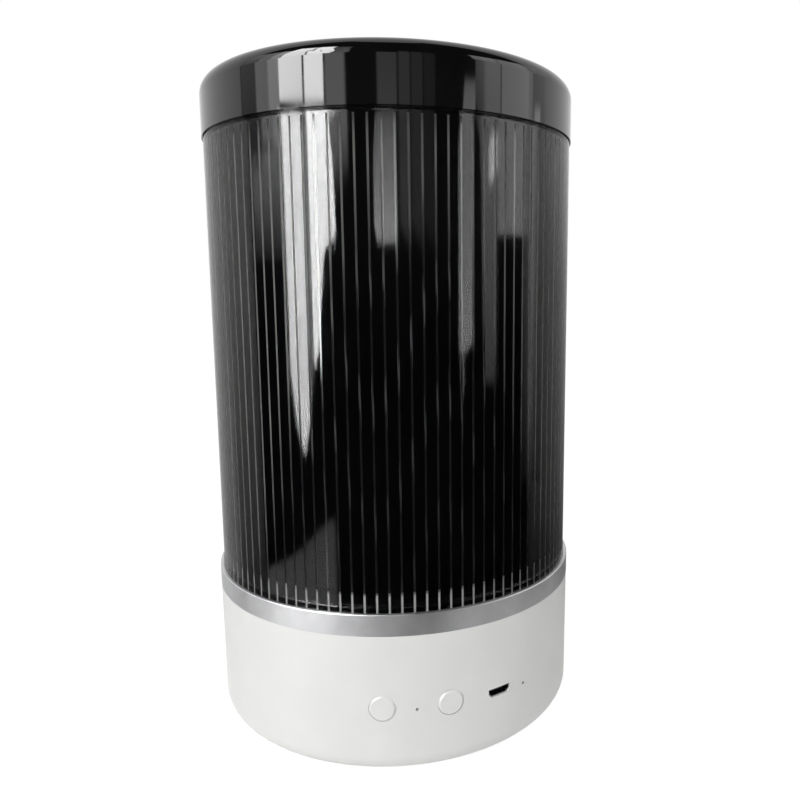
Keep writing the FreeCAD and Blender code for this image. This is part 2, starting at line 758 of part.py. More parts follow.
def make_deck():
    """White deck that closes the base, with an upstanding collar inside the cover's foot."""
    body = new_body("deck")
    spin(body, "disc", [
        ("bush_bore", "deck_bottom"), ("deck_radius", "deck_bottom"), ("deck_radius", "collar_top"),
        ("collar_bore", "collar_top"), ("collar_bore", "base_top"), ("bush_bore", "base_top")])
    holes = sketch(body, "screw_plan", lift="base_top")
    cut(body, "screw_holes", place_all(holes, "boss_hole", deck_screw_spots()))
    nose = sketch(body, "nose_plan", lift="base_top")
    cut(body, "nose_hole", circle(nose, "nose_radius + slip_gap", across="-gear_centres"))
    spots = motor_screw_spots()
    sinks = sketch(body, "motor_sink_plan", lift="base_top")
    cut(body, "motor_sinks", place_all(sinks, "2 * motor_screw_radius + slip_gap", spots),
        "base_top - motor_screw_seat")
    taps = sketch(body, "motor_hole_plan", lift="base_top")
    cut(body, "motor_holes", place_all(taps, "motor_screw_hole", spots))
    return body


def make_post():
    """Hollow threaded post with a flange on the deck, a groove for the snap ring and a top pin."""
    body = new_body("light_post")
    groove = "post_radius - clip_groove"
    spin(body, "tube", [
        ("post_bore", "post_bottom"), ("post_radius", "post_bottom"), ("post_radius", "base_top"),
        ("post_flange_radius", "base_top"), ("post_flange_radius", "post_flange_top"),
        ("post_radius", "post_flange_top"), ("post_radius", "clip_bottom - running_gap"),
        (groove, "clip_bottom - running_gap"), (groove, "clip_top + running_gap"),
        ("post_radius", "clip_top + running_gap"), ("post_radius", "post_shoulder"),
        ("post_pin_radius", "post_shoulder"), ("post_pin_radius", "post_top"), ("0", "post_top"),
        ("0", "post_shoulder - post_flange"), ("post_bore", "post_shoulder - post_flange")])
    port = sketch(body, "port_plan", "YZ_Plane")
    cut(body, "lead_port", circle(port, "post_port_radius", up="post_port"), onward=True)
    return body


def make_post_nuts():
    """Two hexagon nuts: one pulls the post down on the deck, one holds the light core down."""
    body = new_body("post_nuts")
    corner = "nut_flats / 2 / cos(30)"
    hexagon = [(f"{corner} * cos({60 * side})", f"{corner} * sin({60 * side})") for side in range(6)]
    for name, low in (("lower", "nut_bottom"), ("upper", "core_top")):
        plan = circle(outline(sketch(body, f"{name}_plan", lift=low), hexagon), "bush_bore")
        pad(body, name, plan, "nut_height")
    return body


def make_thrust_washer():
    body = new_body("thrust_washer")
    plan = circle(sketch(body, "plan", lift="post_flange_top"), "bush_bore")
    pad(body, "disc", circle(plan, "post_flange_radius"), "washer_thickness")
    return body


def make_snap_ring():
    """Open ring in the post's groove, over the turntable's bush and under the light core."""
    body = new_body("snap_ring")
    plan = circle(sketch(body, "plan", lift="clip_bottom"), "post_radius - clip_groove + running_gap")
    pad(body, "disc", circle(plan, "clip_radius"), "clip_thickness")
    gap = sketch(body, "gap_plan", lift="clip_top")
    cut(body, "opening", rectangle(gap, "-clip_opening / 2", "clip_opening / 2", "0", "2 * clip_radius"))
    return body


def side_turn(number):
    """The angle of one side of the light core."""
    return f"90 + {number} * 360 / board_side_count"


def make_light_core():
    """Aluminium bar that carries the light boards and takes their heat."""
    body = new_body("light_core")
    count = round(value("board_side_count"))
    corners = []
    reach = "(light_board_width + core_corner) / 2"
    for number in range(count):
        turn = f"({number} * 360 / board_side_count)"
        for side, other in (("+", "-"), ("-", "+")):
            corners.append((f"core_flat * cos({turn}) {side} {reach} * sin({turn})",
                            f"core_flat * sin({turn}) {other} {reach} * cos({turn})"))
    plan = outline(sketch(body, "plan", lift="clip_top"), corners)
    pad(body, "bar", circle(plan, "bush_bore"), "core_length")
    return body


def make_light_boards():
    """A narrow board on each side of the core, each with a row of square light emitters."""
    made = []
    for number in range(round(value("board_side_count"))):
        board = new_body(f"light_board_{number + 1}")
        plan = sketch(board, "plan", lift="light_board_bottom")
        rectangle(plan, "-light_board_width / 2", "light_board_width / 2", "-light_board_face", "-core_flat")
        pad(board, "strip", plan, "light_board_length")
        made.append(turn_about_axis(board, side_turn(number)))
        lights = new_body(f"light_emitters_{number + 1}")
        face = sketch(lights, "plan", "XZ_Plane", lift="light_board_face")
        domes = sketch(lights, "lens_plan", "XZ_Plane", lift="light_board_face + emitter_height")
        for place in range(round(value("emitter_count"))):
            middle = f"light_board_bottom + emitter_pitch * {place + 0.5}"
            rectangle(face, "-emitter_size / 2", "emitter_size / 2",
                      f"{middle} - emitter_size / 2", f"{middle} + emitter_size / 2")
            circle(domes, "emitter_lens", up=middle)
        pad(lights, "blocks", face, "emitter_height")
        cut(lights, "wells", domes, "emitter_well")
        made.append(turn_about_axis(lights, side_turn(number)))
    return made


# ---- Drum: turntable, sleeve and spider -------------------------------------------------------

def tooth_outline(teeth, phase):
    """One involute tooth's outline at an angle: straight runs through points of the true curve."""
    module = value("gear_module")
    slope = math.radians(value("pressure_angle"))
    pitch = module * teeth / 2
    base = pitch * math.cos(slope)
    root = pitch - value("gear_dedendum") * module
    tip = pitch + value("gear_addendum") * module
    half_pitch = math.pi / (2 * teeth) - value("gear_backlash") / (2 * pitch)

    def half_angle(radius):
        lean = math.acos(min(1.0, base / radius))
        return half_pitch + math.tan(slope) - slope - math.tan(lean) + lean

    steps = 5
    start = max(base, root)
    curve = [start + (tip - start) * step / steps for step in range(steps + 1)]
    radii = [root - module / 2] + ([root] if root < base else []) + curve
    side = [(radius, half_angle(radius)) for radius in radii]
    return [FreeCAD.Vector(radius * math.cos(phase + angle), radius * math.sin(phase + angle), 0)
            for radius, angle in [(radius, -angle) for radius, angle in side] + side[::-1]]


def add_teeth(body, teeth_words, phase, low, height):
    """A row of teeth round a blank: one padded tooth, copied round the axis."""
    drawing = sketch(body, "tooth_plan", lift=low)
    spots = tooth_outline(round(value(teeth_words)), phase)
    for number, spot in enumerate(spots):
        drawing.addGeometry(Part.LineSegment(spot, spots[(number + 1) % len(spots)]))
    for number in range(len(spots)):
        drawing.addConstraint(
            Sketcher.Constraint("Coincident", number, 2, (number + 1) % len(spots), 1))
    repeat(body, "teeth", pad(body, "tooth", drawing, height), teeth_words)


def make_turntable():
    """Moulded plate with a hub, a toothed ring below and a rim that the sleeve slips over."""
    body = new_body("turntable")
    inside = "gear_root - gear_rim"
    spin(body, "plate", [
        ("bush_radius", "bush_flange_top"), ("hub_radius", "bush_flange_top"),
        ("hub_radius", "web_bottom"), (inside, "web_bottom"), (inside, "gear_bottom"),
        ("gear_root", "gear_bottom"), ("gear_root", "web_bottom"), ("sleeve_radius", "web_bottom"),
        ("sleeve_radius", "web_top"), ("rim_radius", "web_top"), ("rim_radius", "web_top + rim_height"),
        ("rim_bore", "web_top + rim_height"), ("rim_bore", "web_top"), ("hub_radius", "web_top"),
        ("hub_radius", "hub_top"), ("bush_radius", "hub_top")])
    spots = ring_of("web_window_circle", "web_window_count", 0)
    windows = place_all(sketch(body, "window_plan", lift="web_top"), "web_window_radius", spots)
    cut(body, "windows", windows, "web_thickness")
    add_teeth(body, "gear_teeth", math.pi, "gear_bottom", "gear_width")
    return body


def make_turntable_bush():
    """Flanged plain bearing pressed into the turntable's hub."""
    body = new_body("turntable_bush")
    spin(body, "bush", [
        ("bush_bore", "washer_top"), ("post_flange_radius", "washer_top"),
        ("post_flange_radius", "bush_flange_top"), ("bush_radius", "bush_flange_top"),
        ("bush_radius", "hub_top"), ("bush_bore", "hub_top")])
    return body


def make_image_sleeve():
    """Thin translucent tube that carries the printed picture."""
    body = new_body("image_sleeve")
    spin(body, "tube", [
        ("sleeve_bore", "web_top"), ("sleeve_radius", "web_top"),
        ("sleeve_radius", "sleeve_top"), ("sleeve_bore", "sleeve_top")])
    return body


def make_top_spider():
    """Ring with spokes that keeps the sleeve round and centred on the post's pin."""
    body = new_body("top_spider")
    rim_low = "sleeve_top - rim_height"
    spin(body, "rim", [
        ("rim_bore", rim_low), ("rim_radius", rim_low), ("rim_radius", "sleeve_top"),
        ("sleeve_radius", "sleeve_top"), ("sleeve_radius", "spider_top"), ("rim_bore", "spider_top")])
    spin(body, "hub", [
        ("top_bush_radius", "spider_hub_bottom"), ("spider_hub_radius", "spider_hub_bottom"),
        ("spider_hub_radius", "spider_hub_top"), ("top_bush_radius", "spider_hub_top")])
    plan = sketch(body, "spoke_plan", lift="sleeve_top - spider_thickness")
    rectangle(plan, "(top_bush_radius + spider_hub_radius) / 2", "(rim_bore + rim_radius) / 2",
              "-spoke_width / 2", "spoke_width / 2")
    repeat(body, "spokes", pad(body, "spoke", plan, "2 * spider_thickness"), "spoke_count")
    return body


def make_top_bush():
    body = new_body("top_bush")
    spin(body, "bush", [
        ("top_bush_bore", "spider_hub_bottom"), ("top_bush_radius", "spider_hub_bottom"),
        ("top_bush_radius", "spider_hub_top"), ("top_bush_bore", "spider_hub_top")])
    return body


# ---- Drive ------------------------------------------------------------------------------------

def stand_beside(body):
    """Set a body on the motor's own axis, level with the lamp's."""
    body.setExpression("Placement.Base.x", formula("-gear_centres"))
    return body


def motor_block(body, name, low, height):
    plan = rectangle(sketch(body, f"{name}_plan", lift=low), "-motor_depth / 2", "motor_depth / 2",
                     "-motor_width / 2", "motor_width / 2")
    return pad(body, name, plan, height)


def make_gearbox():
    body = stand_beside(new_body("motor_gearbox"))
    motor_block(body, "box", "gearbox_bottom", "gearbox_length")
    pad(body, "nose", circle(sketch(body, "nose_plan", lift="deck_bottom"), "nose_radius"), "nose_height")
    bore = circle(sketch(body, "bore_plan", lift="deck_bottom + nose_height"), "shaft_hole")
    cut(body, "bore", bore, "nose_height + shaft_sunk + end_float")
    taps = sketch(body, "tap_plan", lift="deck_bottom")
    for side in ("-motor_screw_spread", "motor_screw_spread"):
        circle(taps, "motor_screw_hole", up=side)
    cut(body, "taps", taps, "motor_screw_grip + end_float")
    return body


def make_motor_can():
    """Flat-sided motor can with a rear bearing boss and two terminals."""
    body = stand_beside(new_body("motor_can"))
    case = circle(sketch(body, "round_plan", lift="can_bottom"), "motor_width / 2")
    pad(body, "round", case, "can_length")
    for side, (near, far) in (("left", ("-motor_width", "-motor_depth / 2")),
                              ("right", ("motor_depth / 2", "motor_width"))):
        flat = sketch(body, f"{side}_flat_plan", lift="gearbox_bottom")
        cut(body, f"{side}_flat", rectangle(flat, near, far, "-motor_width", "motor_width"), "can_length")
    boss = circle(sketch(body, "boss_plan", lift="can_bottom"), "can_boss_radius")
    pad(body, "boss", boss, "can_boss_height", back=True)
    tags = sketch(body, "terminal_plan", lift="can_bottom")
    for side in ("-terminal_spread", "terminal_spread"):
        rectangle(tags, "-terminal_width / 2", "terminal_width / 2",
                  f"{side} - terminal_thickness / 2", f"{side} + terminal_thickness / 2")
    pad(body, "terminals", tags, "terminal_length", back=True)
    return body


def make_motor_shaft():
    """Output shaft with a flat that keys the pinion."""
    body = stand_beside(new_body("motor_shaft"))
    low = "deck_bottom - shaft_sunk"
    rod = circle(sketch(body, "rod_plan", lift=low), "shaft_radius")
    pad(body, "rod", rod, "shaft_sunk + shaft_reach")
    flat = sketch(body, "flat_plan", lift="deck_bottom + shaft_reach")
    rectangle(flat, "shaft_radius - shaft_flat", "2 * shaft_radius", "-shaft_radius", "shaft_radius")
    cut(body, "flat", flat, "deck_bottom + shaft_reach - base_top - pinion_lift")
    return body


def make_pinion():
    body = stand_beside(new_body("drive_pinion"))
    low = "base_top + pinion_lift"
    high = "web_bottom - pinion_drop"
    root = "gear_module * (pinion_teeth / 2 - gear_dedendum)"
    pad(body, "blank", circle(sketch(body, "blank_plan", lift=low), root), f"{high} - ({low})")
    add_teeth(body, "pinion_teeth", math.pi / value("pinion_teeth"), low, f"{high} - ({low})")
    bore = sketch(body, "bore_plan", lift=high)
    half = "sqrt(shaft_radius^2 - (shaft_radius - shaft_flat)^2)"
    cut(body, "bore", flatted_circle(bore, "shaft_radius", "shaft_radius - shaft_flat", half))
    return body


# ---- Controls and main board ------------------------------------------------------------------

def make_button(side, angle):
    """Round cap that slides in the wall, kept in by a flange behind it."""
    body = face_outwards(new_body(f"{side}_button"), angle)
    spin(body, "cap", [
        ("0", "stem_back"), ("button_stem_radius", "stem_back"), ("button_stem_radius", "flange_back"),
        ("button_flange_radius", "flange_back"), ("button_flange_radius", "flange_front"),
        ("button_radius", "flange_front"), ("button_radius", "button_face - button_edge"),
        ("button_radius - button_edge", "button_face"), ("0", "button_face")])
    return body


def make_plunger(side, angle):
    body = face_outwards(new_body(f"{side}_plunger"), angle)
    plan = circle(sketch(body, "plan", lift="plunger_back"), "plunger_radius")
    pad(body, "rod", plan, "stem_back - plunger_back")
    return body


def make_switch(side, angle):
    """Side-acting push switch that stands on the main board behind its button."""
    body = face_outwards(new_body(f"{side}_switch"), angle)
    plan = rectangle(sketch(body, "plan", lift="switch_back"), "-switch_width / 2", "switch_width / 2",
                     "board_top - control_height", "board_top - control_height + switch_height")
    pad(body, "case", plan, "switch_depth")
    bore = circle(sketch(body, "bore_plan", lift="switch_front"), "plunger_radius + running_gap")
    cut(body, "bore", bore, "plunger_sunk + button_travel + end_float")
    return body


def make_microphone():
    body = face_outwards(new_body("microphone"), "0", "port_height")
    spin(body, "capsule", [
        ("0", "mic_front - mic_depth"), ("mic_radius", "mic_front - mic_depth"),
        ("mic_radius", "mic_front"), ("mic_hole_radius", "mic_front"),
        ("mic_hole_radius", "mic_front - mic_port_depth"), ("0", "mic_front - mic_port_depth")])
    return body


def make_usb_shell():
    """Folded metal shell of the micro-USB inlet, open at its mouth."""
    body = face_outwards(new_body("usb_shell"), "usb_angle", "port_height")
    pad(body, "case", usb_outline(sketch(body, "case_plan", lift="usb_back"), "0"), "usb_depth")
    mouth = usb_outline(sketch(body, "mouth_plan", lift="usb_front"), "(-usb_wall)")
    cut(body, "mouth", mouth, "usb_depth - usb_wall")
    return body


def make_usb_tongue():
    """Plastic tongue that carries the inlet's contacts."""
    body = face_outwards(new_body("usb_tongue"), "usb_angle", "port_height")
    roof = "usb_height / 2 - usb_wall - tongue_height / 2"
    plan = rectangle(sketch(body, "plan", lift="usb_back + usb_wall"), "-tongue_width / 2",
                     "tongue_width / 2", f"{roof} - tongue_height", roof)
    pad(body, "blade", plan, "usb_depth - usb_wall - tongue_setback")
    return body


def make_charge_light():
    body = face_outwards(new_body("charge_light"), "lamp_angle", "lamp_level")
    plan = rectangle(sketch(body, "plan", lift="lamp_front - lamp_depth"), "-lamp_width / 2",
                     "lamp_width / 2", "board_top - lamp_level", "board_top - lamp_level + lamp_height")
    pad(body, "block", plan, "lamp_depth")
    return body


def make_light_pipe():
    """Clear pin that brings the charge light to the surface."""
    body = face_outwards(new_body("light_pipe"), "lamp_angle", "lamp_level")
    spin(body, "pin", [
        ("0", "pipe_flange_back"), ("lamp_pipe_flange", "pipe_flange_back"),
        ("lamp_pipe_flange", "pipe_flange_front"), ("pipe_radius", "pipe_flange_front"),
        ("pipe_radius", "control_face - running_gap"), ("0", "control_face - running_gap")])
    return body


def make_main_board():
    """Half-round circuit board with notches behind the buttons, the microphone and the light pipe."""
    body = new_body("main_board")
    blank = circle(sketch(body, "blank_plan", lift="board_bottom"), "board_radius")
    pad(body, "blank", blank, "board_thickness")
    back = sketch(body, "back_plan", lift="board_top")
    rectangle(back, "-2 * board_radius", "2 * board_radius", "-board_back", "2 * board_radius")
    cut(body, "back", back, "board_thickness")
    notches = (("left", "-button_angle", "button_flange_radius + button_notch_gap", "switch_front"),
               ("right", "button_angle", "button_flange_radius + button_notch_gap", "switch_front"),
               ("mic", "0", "mic_radius + slip_gap", "mic_front - mic_depth - slip_gap"),
               ("lamp", "lamp_angle", "lamp_pipe_flange + slip_gap", "pipe_flange_back - slip_gap"))
    for name, angle, half, depth in notches:
        plan = sketch(body, f"{name}_notch_plan", "XZ_Plane", lift=depth, turn=angle)
        rectangle(plan, f"-({half})", half, "board_bottom - board_thickness", "board_top + board_thickness")
        cut(body, f"{name}_notch", plan, onward=True)
    holes = sketch(body, "hole_plan", lift="board_top")
    cut(body, "holes", place_all(holes, "board_hole", board_screw_spots()))
    return body


def make_chip(name, across, up, length, legs):
    """Moulded chip with a row of legs along each side."""
    body = new_body(name)
    plan = sketch(body, "plan", lift="board_top + chip_stand")
    rectangle(plan, f"{across} - {length} / 2", f"{across} + {length} / 2",
              f"{up} - chip_width / 2", f"{up} + chip_width / 2")
    pad(body, "case", plan, "chip_height - chip_stand")
    feet = sketch(body, "leg_plan", lift="board_top")
    for number in range(legs):
        middle = f"{across} + chip_leg_pitch * {number - (legs - 1) / 2}"
        rectangle(feet, f"{middle} - chip_leg_width / 2", f"{middle} + chip_leg_width / 2",
                  f"{up} - chip_width / 2 - chip_leg", f"{up} + chip_width / 2 + chip_leg")
    pad(body, "legs", feet, "chip_leg_thickness")
    return body


# The plan positions of the three lead connections and the two chips on the main board.
HEADERS = {"cell": (13.0, -14.0), "motor": (-13.0, -14.0), "light": (0.0, -20.0)}
CHIPS = {
    "control_chip": (0.0, -33.0, "control_chip_length", 7),
    "charge_chip": (28.0, -31.0, "charge_chip_length", 4),
}


def make_header(name, across, up):
    """Open-topped socket for a plug on the main board."""
    body = new_body(f"{name}_header")
    for part, spare, low, depth in (("case", "0", "board_top", "header_height"),
                                    ("well", "header_wall", "header_top", "header_height - header_floor")):
        long, wide = f"(header_length / 2 - {spare})", f"(header_width / 2 - {spare})"
        plan = rectangle(sketch(body, f"{part}_plan", lift=low), f"{across} - {long}", f"{across} + {long}",
                         f"{up} - {wide}", f"{up} + {wide}")
        if part == "case":
            pad(body, part, plan, depth)
        else:
            cut(body, part, plan, depth)
    return body


def make_plug(name, across, up):
    body = new_body(f"{name}_plug")
    spare = "(header_wall + running_gap)"
    long, wide = f"(header_length / 2 - {spare})", f"(header_width / 2 - {spare})"
    plan = rectangle(sketch(body, "plan", lift="header_inner"), f"{across} - {long}", f"{across} + {long}",
                     f"{up} - {wide}", f"{up} + {wide}")
    pad(body, "block", plan, "plug_height")
    return body


# ---- Cell and leads ---------------------------------------------------------------------------

def make_cell():
    """Round rechargeable cell lying across the back of the floor, with its end nub."""
    body = new_body("battery_cell")
    place = f"placement(vector(0; {formula('cell_back')}; {formula('cell_height')}); rotation(0; 90; 0))"
    body.setExpression("Placement", place)
    half = "cell_length / 2"
    spin(body, "can", [
        ("0", f"-{half}"), ("cell_radius - cell_lift", f"-{half}"), ("cell_radius", f"cell_lift - {half}"),
        ("cell_radius", f"{half} - cell_lift"), ("cell_radius - cell_lift", half),
        ("cell_nub_radius", half), ("cell_nub_radius", f"{half} + cell_nub"), ("0", f"{half} + cell_nub")])
    return body


def make_lead(name, stops):
    """Round lead along straight runs joined by arcs as large as the runs allow."""
    spots = [FreeCAD.Vector(*(value(words) for words in stop)) for stop in stops]
    edges = []
    start = spots[0]
    for before, spot, after in zip(spots, spots[1:], spots[2:]):
        inward = (spot - before).normalize()
        outward = (after - spot).normalize()
        setback = 0.45 * min((spot - before).Length, (after - spot).Length)
        turn = inward.getAngle(outward)
        radius = setback / math.tan(turn / 2)
        enter = spot - inward * setback
        leave = spot + outward * setback
        towards = (outward - inward).normalize()
        middle = spot + towards * (radius / math.cos(turn / 2) - radius)
        edges.append(Part.LineSegment(start, enter).toShape())
        edges.append(Part.Arc(enter, middle, leave).toShape())
        start = leave
    edges.append(Part.LineSegment(start, spots[-1]).toShape())
    path = Part.Wire(edges)
    ring = Part.Circle(spots[0], (spots[1] - spots[0]).normalize(), value("lead_radius")).toShape()
    tube = path.makePipeShell([Part.Wire(ring)], True, False)
    if abs(tube.Volume / (math.pi * value("lead_radius") ** 2 * path.Length) - 1) > 0.01:
        raise RuntimeError(f"{name} is not a true tube")
    feature = doc.addObject("Part::Feature", name)
    feature.Label = name
    feature.Shape = tube
    return feature


def make_leads():
    """Cell to board, motor to board, and board up the post to the light boards."""
    cell_across, cell_up = HEADERS["cell"]
    motor_across, motor_up = HEADERS["motor"]
    light_across, light_up = HEADERS["light"]
    above = "plug_top + 6"
    end = "cell_length / 2 + cell_nub"
    cell = make_lead("cell_lead", [
        (end, "cell_back", "cell_height"), (f"{end} + 6", "cell_back", "cell_height"),
        ("cell_length / 2 + 5", "cell_back - 13", "cell_height + 7"),
        ("cell_length / 2 - 5", "cell_back - 27", "plug_top + 3"),
        (cell_across + 5, cell_up + 2, above), (cell_across, cell_up, f"{above} - 1"),
        (cell_across, cell_up, "plug_top")])
    tag = "can_bottom - terminal_length"
    motor = make_lead("motor_lead", [
        ("-gear_centres", "-terminal_spread", tag),
        ("-gear_centres", "-terminal_spread", f"{tag} - 4"),
        ("-gear_centres + 9", "1", f"{tag} - 4.5"), ("-gear_centres + 12", "0", f"{tag} + 8"),
        ("-gear_centres + 12", "-2", f"{tag} + 18"), (motor_across - 1, motor_up + 6, above),
        (motor_across, motor_up, f"{above} - 1"), (motor_across, motor_up, "plug_top")])
    board_top_end = "light_board_bottom + light_board_length"
    light = make_lead("light_lead", [
        (light_across, light_up, "plug_top"), (light_across, light_up, f"{above} - 2"),
        (light_across, light_up + 8, f"{above} - 1"), (light_across, -6, f"{above} - 3"),
        (light_across, 0, "post_bottom - 1"), ("0", "0", "post_port - 2"),
        ("3", "0", "post_port"), ("light_board_face + 2", "0", "post_port"),
        ("light_board_face + lead_radius + 0.3", "0", "top_nut_top - 2"),
        ("light_board_face + lead_radius + 0.3", "0", f"{board_top_end} - 1")])
    return [cell, motor, light]


# ---- The whole lamp ---------------------------------------------------------------------------

parts = [
    make_base_shell(), make_floor_plate(), *make_rubber_feet(),
    screws("floor_screws", floor_screw_spots(), "floor_screw_seat", "case_screw_radius",
           "screw_head_radius", "case_screw_head", "case_screw_length", upward=True),
    make_trim_ring(), make_outer_cover(), make_slit_film(), make_cap(),
    make_deck(),
    screws("deck_screws", deck_screw_spots(), "base_top", "case_screw_radius", "screw_head_radius",
           "case_screw_head", "case_screw_length", upward=False),
    make_post(), make_post_nuts(), make_thrust_washer(), make_snap_ring(),
    make_light_core(), *make_light_boards(),
    make_turntable(), make_turntable_bush(), make_image_sleeve(), make_top_spider(), make_top_bush(),
    make_gearbox(), make_motor_can(), make_motor_shaft(), make_pinion(),
    screws("motor_screws", motor_screw_spots(), "motor_screw_seat", "motor_screw_radius",
           "2 * motor_screw_radius", "motor_screw_head",
           "motor_screw_seat - deck_bottom + motor_screw_grip", upward=False),
    make_main_board(),
    screws("board_screws", board_screw_spots(), "board_top", "board_screw_radius",
           "2 * board_screw_radius", "board_screw_head", "board_screw_length", upward=False),
    make_microphone(), make_usb_shell(), make_usb_tongue(), make_charge_light(), make_light_pipe(),
    *[make_chip(name, *layout) for name, layout in CHIPS.items()],
    make_cell(), *make_leads(),
]
for side, angle in (("left", "-button_angle"), ("right", "button_angle")):
    parts += [make_button(side, angle), make_plunger(side, angle), make_switch(side, angle)]
for name, (across, up) in HEADERS.items():
    parts += [make_header(name, across, up), make_plug(name, across, up)]

doc.recompute()
for item in doc.Objects:
    if "Invalid" in item.State or "Error" in item.State:
        raise RuntimeError(f"{item.Name} did not compute")
for part in parts:
    if part.Shape.isNull() or not part.Shape.isValid():
        raise RuntimeError(f"{part.Label} is not a valid solid")

os.makedirs("parts", exist_ok=True)
for part in parts:
    part.Shape.exportStep(f"parts/{part.Label}.step")
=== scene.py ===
import math

import bpy
import numpy as np
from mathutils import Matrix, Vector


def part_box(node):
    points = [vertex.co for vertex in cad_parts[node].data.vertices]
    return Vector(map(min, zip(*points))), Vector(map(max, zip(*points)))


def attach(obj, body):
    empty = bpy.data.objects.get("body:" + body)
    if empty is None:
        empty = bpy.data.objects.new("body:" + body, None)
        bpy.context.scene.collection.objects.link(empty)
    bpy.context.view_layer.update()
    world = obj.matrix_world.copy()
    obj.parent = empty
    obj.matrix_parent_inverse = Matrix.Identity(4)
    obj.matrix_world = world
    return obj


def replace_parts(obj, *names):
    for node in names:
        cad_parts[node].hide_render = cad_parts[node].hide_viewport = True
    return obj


# Rotating motion lamp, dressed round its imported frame. Metres, origin on the lamp's axis at the
# underside of its feet, +Z up, buttons on the -Y side. Sizes below are written in millimetres.

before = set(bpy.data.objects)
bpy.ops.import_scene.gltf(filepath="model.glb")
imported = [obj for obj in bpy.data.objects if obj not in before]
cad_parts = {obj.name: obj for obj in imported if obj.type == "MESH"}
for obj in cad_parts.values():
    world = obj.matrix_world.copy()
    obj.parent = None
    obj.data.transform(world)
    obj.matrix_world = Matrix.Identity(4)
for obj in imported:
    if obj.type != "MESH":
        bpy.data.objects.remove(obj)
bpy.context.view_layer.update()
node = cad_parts
MM = 0.001


# ---- Base shell and floor plate -----------------------------------------------------------------
# The base is a white ABS cup, injection moulded in a tool with a fine spark-eroded skin, and its
# floor is a plate of the same plastic. That skin gives an even, soft sheen without any sparkle.

def linear(colour):
    """An sRGB colour written as hex digits, as linear red, green, blue and full alpha."""
    shade = np.array([int(colour[at:at + 2], 16) for at in (0, 2, 4)]) / 255
    shade = np.where(shade <= 0.04045, shade / 12.92, ((shade + 0.055) / 1.055) ** 2.4)
    return (*shade.tolist(), 1.0)


def add(tree, kind, settings):
    """Add one node with its attributes and inputs set; an input given a socket is linked to it."""
    made = tree.nodes.new(kind)
    for name, setting in settings.items():
        if isinstance(name, str) and hasattr(made, name):
            setattr(made, name, setting)
        elif isinstance(setting, bpy.types.NodeSocket):
            tree.links.new(setting, made.inputs[name])
        else:
            made.inputs[name].default_value = setting
    return made


def new_finish(name):
    """A material with an empty node tree, and the tree."""
    made = bpy.data.materials.new(name)
    made.use_nodes = True
    made.node_tree.nodes.clear()
    return made, made.node_tree


def close(tree, shader):
    """Lead a shader to the material's output."""
    add(tree, "ShaderNodeOutputMaterial", {"Surface": shader})


def spots(tree, size, detail=2.0):
    """Noise on the piece's own coordinates, whose spots are about size millimetres across."""
    place = add(tree, "ShaderNodeTexCoord", {})
    return add(tree, "ShaderNodeTexNoise", {
        "Vector": place.outputs["Object"], "Scale": 1 / (size * MM), "Detail": detail})


def between(tree, share, low, high):
    """A number from low to high as share goes from 0.3 to 0.7, where noise mostly lies."""
    return add(tree, "ShaderNodeMapRange", {
        "Value": share, "From Min": 0.3, "From Max": 0.7, "To Min": low, "To Max": high}).outputs[0]


def shades(tree, share, dark, light):
    """A colour between two hex colours, by the same share as between()."""
    return add(tree, "ShaderNodeMix", {
        "data_type": "RGBA", 0: between(tree, share, 0.0, 1.0),
        6: linear(dark), 7: linear(light)}).outputs[2]


def rough_skin(tree, size, height):
    """Bumps of that size and height in millimetres, as a normal."""
    return add(tree, "ShaderNodeBump", {
        "Height": spots(tree, size).outputs["Fac"], "Distance": height * MM}).outputs["Normal"]


CLOUD_SIZE = 14.0  # slow clouds in a moulding's colour
HAZE_SIZE = 5.0  # patches in its gloss


def moulded(name, dark, light, dull, sharp, grain, depth, index=1.53):
    """Moulded plastic: two near shades in clouds, a roughness from sharp to dull, and a skin."""
    made, tree = new_finish(name)
    cloud = spots(tree, CLOUD_SIZE, 3.0).outputs["Fac"]
    close(tree, add(tree, "ShaderNodeBsdfPrincipled", {
        "Base Color": shades(tree, cloud, dark, light),
        "Roughness": between(tree, spots(tree, HAZE_SIZE).outputs["Fac"], sharp, dull),
        "Normal": rough_skin(tree, grain, depth),
        "IOR": index}).outputs[0])
    return made


def give(finish, slot, *names):
    """Finish CAD nodes with a material. The slot is not used."""
    for name in names:
        node[name].data.materials[0] = finish


# The eroded skin is about 0.05 mm fine; it is drawn 0.45 mm coarse, so that it shows close by.
white_abs = moulded("white_moulded_abs", "ECECEA", "F0F0EE", 0.50, 0.42, 0.45, 0.006)
give(white_abs, "white_abs", "base_shell")
floor_abs = moulded("white_moulded_floor_abs", "E6E6E3", "ECECE9", 0.56, 0.46, 0.6, 0.010)
give(floor_abs, "inner_abs", "floor_plate")


# ---- Rubber feet ---------------------------------------------------------------------------------
# Four black rubber discs, punched from sheet and glued in the floor plate's recesses. Rubber is
# dull, with a dry bloom that lightens it in patches.

rubber = moulded("black_sheet_rubber", "161616", "262625", 0.92, 0.78, 0.5, 0.03, 1.52)
give(rubber, "foot_rubber", *(f"rubber_foot_{number}" for number in (1, 2, 3, 4)))


# ---- Screws, nuts, post and snap ring ------------------------------------------------------------
# Cold-headed and turned steel with a thin zinc plating: pale grey metal whose plating is cloudy.

PLATING_GRAIN = 0.3
PLATING_DEPTH = 0.002


